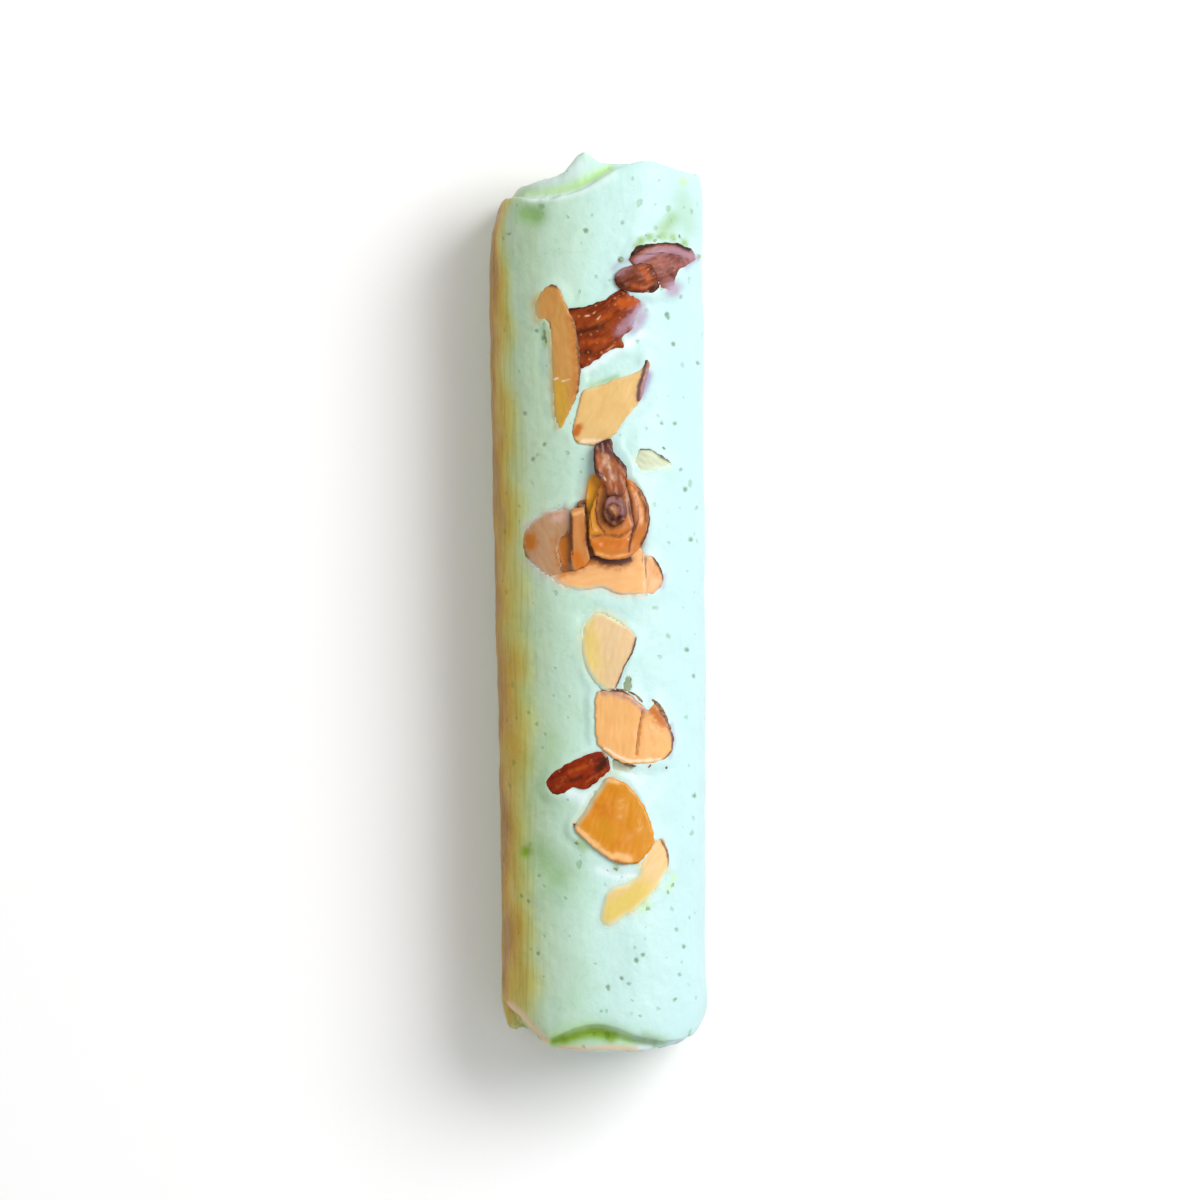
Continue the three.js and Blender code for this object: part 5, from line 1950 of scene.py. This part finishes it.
def candy_crumbs() -> list[Crumbs]:
    """Lists the loose crumbs.

    Returns:
        Dark husk, torn edges of almond, and greenish grey almond dust.
    """
    husk = CrumbFinish("husk_crumb", "almond_skin", light=(150, 96, 62), dark=(70, 40, 34))
    torn = CrumbFinish("torn_crumb", "almond_flesh", light=(176, 132, 92), dark=(112, 82, 56))
    dust = CrumbFinish("dust_crumb", "almond_glazed", light=(176, 200, 158), dark=(126, 142, 100))
    return [
        Crumbs("husk_crumbs", husk, 301, (
            (7.5, -23.9, 0.34, 1.2, 30, 0.1), (10.1, -24.2, 0.22, 1, 0, 0.08),
            (4.7, -23.8, 0.17, 5, -16, 0.5),
            (1.5, -12.5, 0.24, 4, -6, 0.25),
            (-2.7, 15.6, 0.4, 2.2, 34, 0.7), (0.6, -22.2, 0.14, 2.2, -40, 0.75),
            (-3.4, -33.2, 0.26, 2.4, -45, 0.4),
        )),
        Crumbs("torn_crumbs", torn, 351, (
            (3.4, -12.5, 0.14, 6, -8, 0.42), (4.9, -12.95, 0.16, 5, -24, 0.42),
            (6, -13.75, 0.18, 4.4, -44, 0.42), (8.5, -14.5, 0.32, 2.4, -44, 0.42),
            (9, -15, 0.36, 2.2, -50, 0.46), (9.5, -15.8, 0.38, 2.2, -56, 0.46),
            (10, -16.7, 0.34, 2.6, -62, 0.44), (10.5, -17.8, 0.26, 3.2, -66, 0.4),
        )),
        Crumbs("dust_crumbs", dust, 401, (
            (3.24, 52.3, 0.34, 1.1, 20, -0.05), (5.3, 54.2, 0.46, 1.3, 50, -0.12),
            (6.2, 54.8, 0.4, 1.8, 40, -0.08), (7.1, 55.6, 0.34, 1.8, 70, -0.08),
            (8, 55.3, 0.46, 1.7, 8, -0.06), (9.3, 55.8, 0.4, 1.7, 10, -0.08),
            (10.7, 55.7, 0.38, 1.6, -20, -0.08), (11.9, 55.5, 0.34, 1.7, 50, -0.08),
            (12.9, 54.9, 0.28, 1.8, -30, -0.08), (14.9, 52.9, 0.34, 1.2, 60, -0.05),
            (-2.95, -35.4, 0.5, 1.5, -20, -0.16), (-2.3, -36.1, 0.24, 1.3, 10, -0.06),
            (2.5, -39.5, 0.5, 1.15, 0, -0.16), (-8.2, 41.9, 0.2, 3.4, 86, -0.08),
            (-0.2, 34.3, 0.26, 1.8, 20, 0), (3.5, 39.4, 0.3, 1.6, 50, 0),
            (11, -42, 0.26, 1.6, 40, -0.06), (10.3, -43, 0.24, 1.4, 60, -0.06),
            (7.3, -45.4, 0.3, 1.6, 30, -0.06), (9.6, 24, 0.2, 2, -30, -0.05),
        )),
    ]


def candy_marks() -> tuple[Mark, ...]:
    """Lists the marks on the candy.

    Returns:
        The creases and lips of its ends, its dents and its larger pits, and the painted shade and highlights
        on its top.
    """
    sink, milk, lime, olive, moss, orange_shade, peach, violet, line, pit = (effect.mark for effect in (
        Effect.SINK, Effect.MILK, Effect.LIME, Effect.OLIVE, Effect.MOSS, Effect.ORANGE_SHADE, Effect.PEACH,
        Effect.VIOLET, Effect.LINE, Effect.PIT,
    ))
    far_skin = ((-10.5, 61.5), (-6, 61.8), (-3, 62.5), (-0.5, 63.6), (1.9, 65.2))
    far_crease = ((-10.3, 62.5), (-6.4, 62.8), (-3.5, 63.5), (-1.1, 64.7), (1.4, 66))
    near_crease = (
        (-6.9, -65.5), (-5.4, -65.1), (-4, -64.6), (-2.6, -64.1), (-1.1, -63.9), (0.4, -64), (2.3, -64.5),
        (4.3, -65.1), (6.2, -65.6), (8.2, -66),
    )
    near_lip = ((-5.9, -66.7), (-1.4, -66.6), (2.4, -66.4), (6.2, -66.8))
    near_ridge = ((-13.5, -60), (-12, -61.1), (-10.2, -63.2), (-8, -65.4))
    frill = ((5.7, 54.3), (6.4, 55.2), (7.7, 55.7), (9.6, 55.8), (11.1, 55.7), (12.9, 54.9))
    big_pits = (
        (3.2, 52.3, 0.42), (-2, 56.7, 0.34), (0.9, 60.9, 0.26), (-1.1, 59.7, 0.2), (3.5, 57.9, 0.24),
        (11.2, 39.7, 0.28), (10.5, 43.6, 0.2), (9.5, 27.7, 0.2), (11.4, 27.7, 0.26), (-8.2, 24.5, 0.24),
        (-10, 22.3, 0.26), (12.3, 20.8, 0.22), (13, 17.7, 0.34), (14.7, 15, 0.2), (13.8, 10.2, 0.32),
        (1.4, -57.3, 0.3), (2.1, -59.5, 0.22), (4.5, -56.7, 0.2), (0.3, -60.9, 0.18), (6.2, -61.5, 0.22),
        (11.5, -59.2, 0.24), (11.7, -48.6, 0.24), (14.4, -28.5, 0.24),
        (-9, -40.5, 0.2), (-11.7, -43.6, 0.18), (-10.6, -44.4, 0.18), (-8.4, 40.6, 0.3),
        (-9.4, 41.6, 0.28), (-13.6, 56.4, 0.26), (12.4, 46.8, 0.2), (14.9, 36.9, 0.24), (10.2, 44.1, 0.3),
        (-11.2, 29.2, 0.24), (13.2, -6.4, 0.3), (14.3, -10.4, 0.24), (-9.4, -17.6, 0.22), (12.8, -51.2, 0.24),
        (5.6, -53.2, 0.34), (6.6, -52.4, 0.26), (3.4, -56, 0.24), (12.2, -55.4, 0.2), (-9.2, -52.2, 0.2),
    )
    marks = [
        # The far lip with its painted highlight, and the crease behind it painted lime and olive as shade and
        # light shining through.
        sink(0.8, -0.25, *far_skin), milk(0.6, 0.6, *far_skin),
        milk(1.3, 0.6, (-9.6, 63.8), (-5.6, 64.8), (-2.8, 66.6)), sink(0.8, 0.4, *far_crease),
        lime(0.85, 0.85, *far_crease), olive(0.4, 0.4, *far_crease[2:]), sink(2, 0.4, (-10.4, 59.2)),
        olive(1.4, 1.2, (-11, 59.4), (-9.4, 59)), sink(0.8, 0.4, *near_crease),
        # The near crease painted lime, olive and moss as shade and light shining through.
        lime(1.2, 0.75, *near_crease[:8]), olive(1.7, 0.35, *near_crease[1:6]),
        moss(0.6, 0.95, *near_crease[:2]),
        moss(0.85, 1, (-5.2, -65.2), (-3.4, -64.6), (-1.6, -64.2), (0.4, -64.4), (1.8, -65)),
        moss(0.6, 0.85, *near_crease[4:7]), moss(0.4, 0.6, *near_crease[6:]),
        # The near end's left foot in painted orange-brown shade, and painted highlights along the near lip
        # and ridge.
        orange_shade(0.9, 0.55, (-14.8, -60.6), (-14.4, -63)), olive(1, 0.6, (7, -64.8), (9.5, -65.6)),
        peach(0.45, 0.9, *near_lip), milk(0.5, 0.8, (6.2, -66.5), (7.7, -66.4)),
        sink(0.6, -0.35, *near_ridge), peach(0.5, 0.9, *near_ridge),
        olive(0.5, 0.9, (-13, -61.2), (-11.4, -62.6), (-9.6, -64.6)), sink(3.2, 0.5, (-7.9, -39.4)),
        olive(2.4, 0.6, (-9, -37), (-6.4, -40.5)), olive(2, 0.35, (-8, -28), (-7, -20)),
        olive(1.2, 0.7, (11, 58.6), (9.6, 56.6)), olive(1.6, 0.35, (12.6, 61.6), (13.6, 57.4)),
        lime(0.7, 0.7, (12.7, 64.2)), lime(0.6, 0.7, (6.4, -45.4), (7.2, -44.6)),
        lime(0.5, 0.5, (10.4, -42.4), (11.4, -40.6)),
        # Painted shadow beside the long sliver and the diamond, and painted highlights round the slices.
        olive(0.35, 0.9, (-8.4, 43.6), (-8.3, 41.4), (-8, 39.4)),
        line(0.1, 1, (-8.3, 42.8), (-8.2, 41.2), (-7.9, 39.7)), olive(0.4, 0.8, (-1.1, 33.3), (2.7, 34.8)),
        olive(0.35, 0.9, (3.3, 39.2), (3.7, 39.7)),
        milk(0.8, 0.9, (6.2, 41.2), (3.9, 39.4), (1.7, 38.2), (-2.1, 35.8)),
        milk(0.8, 0.9, (0.2, -39.5), (3.2, -40.6), (5, -40.2)), milk(0.5, 0.9, (-4.2, -27.9), (-2.4, -28.8)),
        # Painted orange-brown shade between and beside the heap's slices, and painted violet shade at slices'
        # edges.
        orange_shade(1.5, 1.3, (-5, 12.6), (-4.8, 7.6)),
        orange_shade(1.3, 1.3, (-0.6, 18.2), (-1.2, 16), (-1.6, 12), (-1, 8.6)),
        moss(0.75, 1, (-11.2, -37.1), (-11, -36.8)), sink(0.7, 0.25, (-11.2, -37.1)),
        orange_shade(0.8, 1.3, (-5.6, 6.6), (-4.8, 5.4)),
        orange_shade(1.2, 1.2, (1.5, 19.6), (4.6, 17.6), (5.8, 13), (5.6, 9.6)),
        orange_shade(0.45, 0.9, (7, 7.4), (7.1, 2.8)), violet(0.65, 0.9, (7.5, 35), (7, 33.4), (6.2, 31.8)),
        violet(0.5, 0.6, (14.6, 52.6), (13.2, 51.4)), violet(0.8, 0.45, (12.2, 48.4), (11, 47.4)),
        violet(0.7, 0.6, (6.9, 44), (6.1, 42.4), (5, 41.6)),
        violet(0.35, 0.4, (11, -17.6), (11.4, -20.2), (10.7, -22.6)),
        violet(0.5, 0.45, (2.2, 51), (3, 51.8), (4.6, 52.4)), violet(0.4, 0.4, (9.9, 4.8), (9.6, 3)),
        olive(0.7, 0.8, (-2.9, -35.5), (-2, -36.2)), olive(0.6, 0.8, (2.5, -39.4)),
        milk(1.2, 0.7, (-5, -27.6), (-2.6, -29.2), (-1, -27.6)), milk(1.2, 0.55, (3.4, -24.9), (6.4, -25.4)),
    ]
    for x, y in frill:
        marks.append(sink(0.4, -0.45, (x, y)))
        marks.append(olive(0.6, 1.2, (x, y)))
    for x, y, radius in big_pits:
        marks.append(pit(radius, 1, (x, y)))
        marks.append(sink(radius, radius * 0.6, (x, y)))
    return tuple(marks)


@dataclass
class Studio:
    """The camera straight above the bar, a pale floor, and a soft light from the upper right."""

    picture_px: int = 1200
    px_per_mm: float = 6.6
    bar_middle_px: Point = (599, 607)
    lens: float = 500.0
    sensor: float = 36.0
    plane_z: float = 11.5
    key_from: tuple[float, float, float] = (0.78, 0.42, 1.0)
    key_away: float = 0.9
    key_size: float = 0.55
    key_watts: float = 7.6
    sky: float = 0.645

    def camera(self, setting: Setting) -> None:
        """Sets the camera above the picture's middle, looking straight down.

        Args:
            setting: where the bar lies in the frame.
        """
        across = (self.picture_px / 2 - self.bar_middle_px[0]) / self.px_per_mm + setting.shift[0]
        along = (self.bar_middle_px[1] - self.picture_px / 2) / self.px_per_mm + setting.shift[1]
        width = self.picture_px / self.px_per_mm * MM
        lens = bpy.data.cameras.new("camera")
        lens.lens = self.lens
        lens.sensor_width = self.sensor
        camera = bpy.data.objects.new("camera", lens)
        height = self.plane_z * MM + width * self.lens / self.sensor
        camera.location = (across * MM, along * MM, height)
        bpy.context.scene.collection.objects.link(camera)
        bpy.context.scene.camera = camera

    def floor(self) -> None:
        """Lays the pale floor."""
        bm = bmesh.new()
        bmesh.ops.create_grid(bm, x_segments=1, y_segments=1, size=4.0)
        mesh = bpy.data.meshes.new("floor")
        bm.to_mesh(mesh)
        bm.free()
        floor = bpy.data.objects.new("floor", mesh)
        bpy.context.scene.collection.objects.link(floor)
        board = Board("pale_floor")
        board.dress(floor, (0.86, 0.86, 0.86, 1), board.bump(board.noise(0.5, 2), 0.01), roughness=0.9)
        floor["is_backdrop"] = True

    def key(self) -> None:
        """Hangs the large soft light to the upper right."""
        lamp = bpy.data.lights.new("key", "AREA")
        lamp.energy = self.key_watts
        lamp.size = self.key_size
        light = bpy.data.objects.new("key", lamp)
        direction = Vector(self.key_from).normalized()
        light.location = direction * self.key_away
        light.rotation_euler = direction.to_track_quat("Z", "Y").to_euler()
        light.visible_camera = False
        bpy.context.scene.collection.objects.link(light)

    def surroundings(self) -> None:
        """Fills the room with even white light, and shows it as white."""
        world = bpy.data.worlds.new("studio")
        world.use_nodes = True
        tree = world.node_tree
        fill = tree.nodes["Background"]
        fill.inputs["Color"].default_value = (1, 1, 1, 1)
        fill.inputs["Strength"].default_value = self.sky
        shown = tree.nodes.new("ShaderNodeBackground")
        shown.inputs["Color"].default_value = (1, 1, 1, 1)
        mix = tree.nodes.new("ShaderNodeMixShader")
        ray = tree.nodes.new("ShaderNodeLightPath")
        tree.links.new(ray.outputs["Is Camera Ray"], mix.inputs["Fac"])
        tree.links.new(fill.outputs[0], mix.inputs[1])
        tree.links.new(shown.outputs[0], mix.inputs[2])
        tree.links.new(mix.outputs[0], tree.nodes["World Output"].inputs["Surface"])
        bpy.context.scene.world = world
        bpy.context.scene.view_settings.view_transform = "Standard"


def write_sizes() -> None:
    """Works out the CAD model's box and the visual model's box."""
    boxes = {"cad": CAD_BOX, "visual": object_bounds()}
    plain = {key: [list(corner) for corner in box] for key, box in boxes.items()}


def main() -> None:
    """Builds the roll and its studio."""
    logging.basicConfig(level=logging.INFO, format="%(message)s")
    setting = Setting.from_frame()
    studio = Studio()
    studio.camera(setting)
    studio.floor()
    studio.key()
    studio.surroundings()
    slices = list(almond_slices())
    bar = CandyBar(marks=candy_marks())
    pieces = [bar.build(setting, slices)]
    pieces += [almond.build(setting, bar) for almond in slices]
    pieces += [crumbs.build(setting, bar) for crumbs in candy_crumbs()]
    for piece in pieces:
        logging.info("%s: %d faces", piece.name, len(piece.data.polygons))
    write_sizes()


if __name__ == "__main__":
    main()
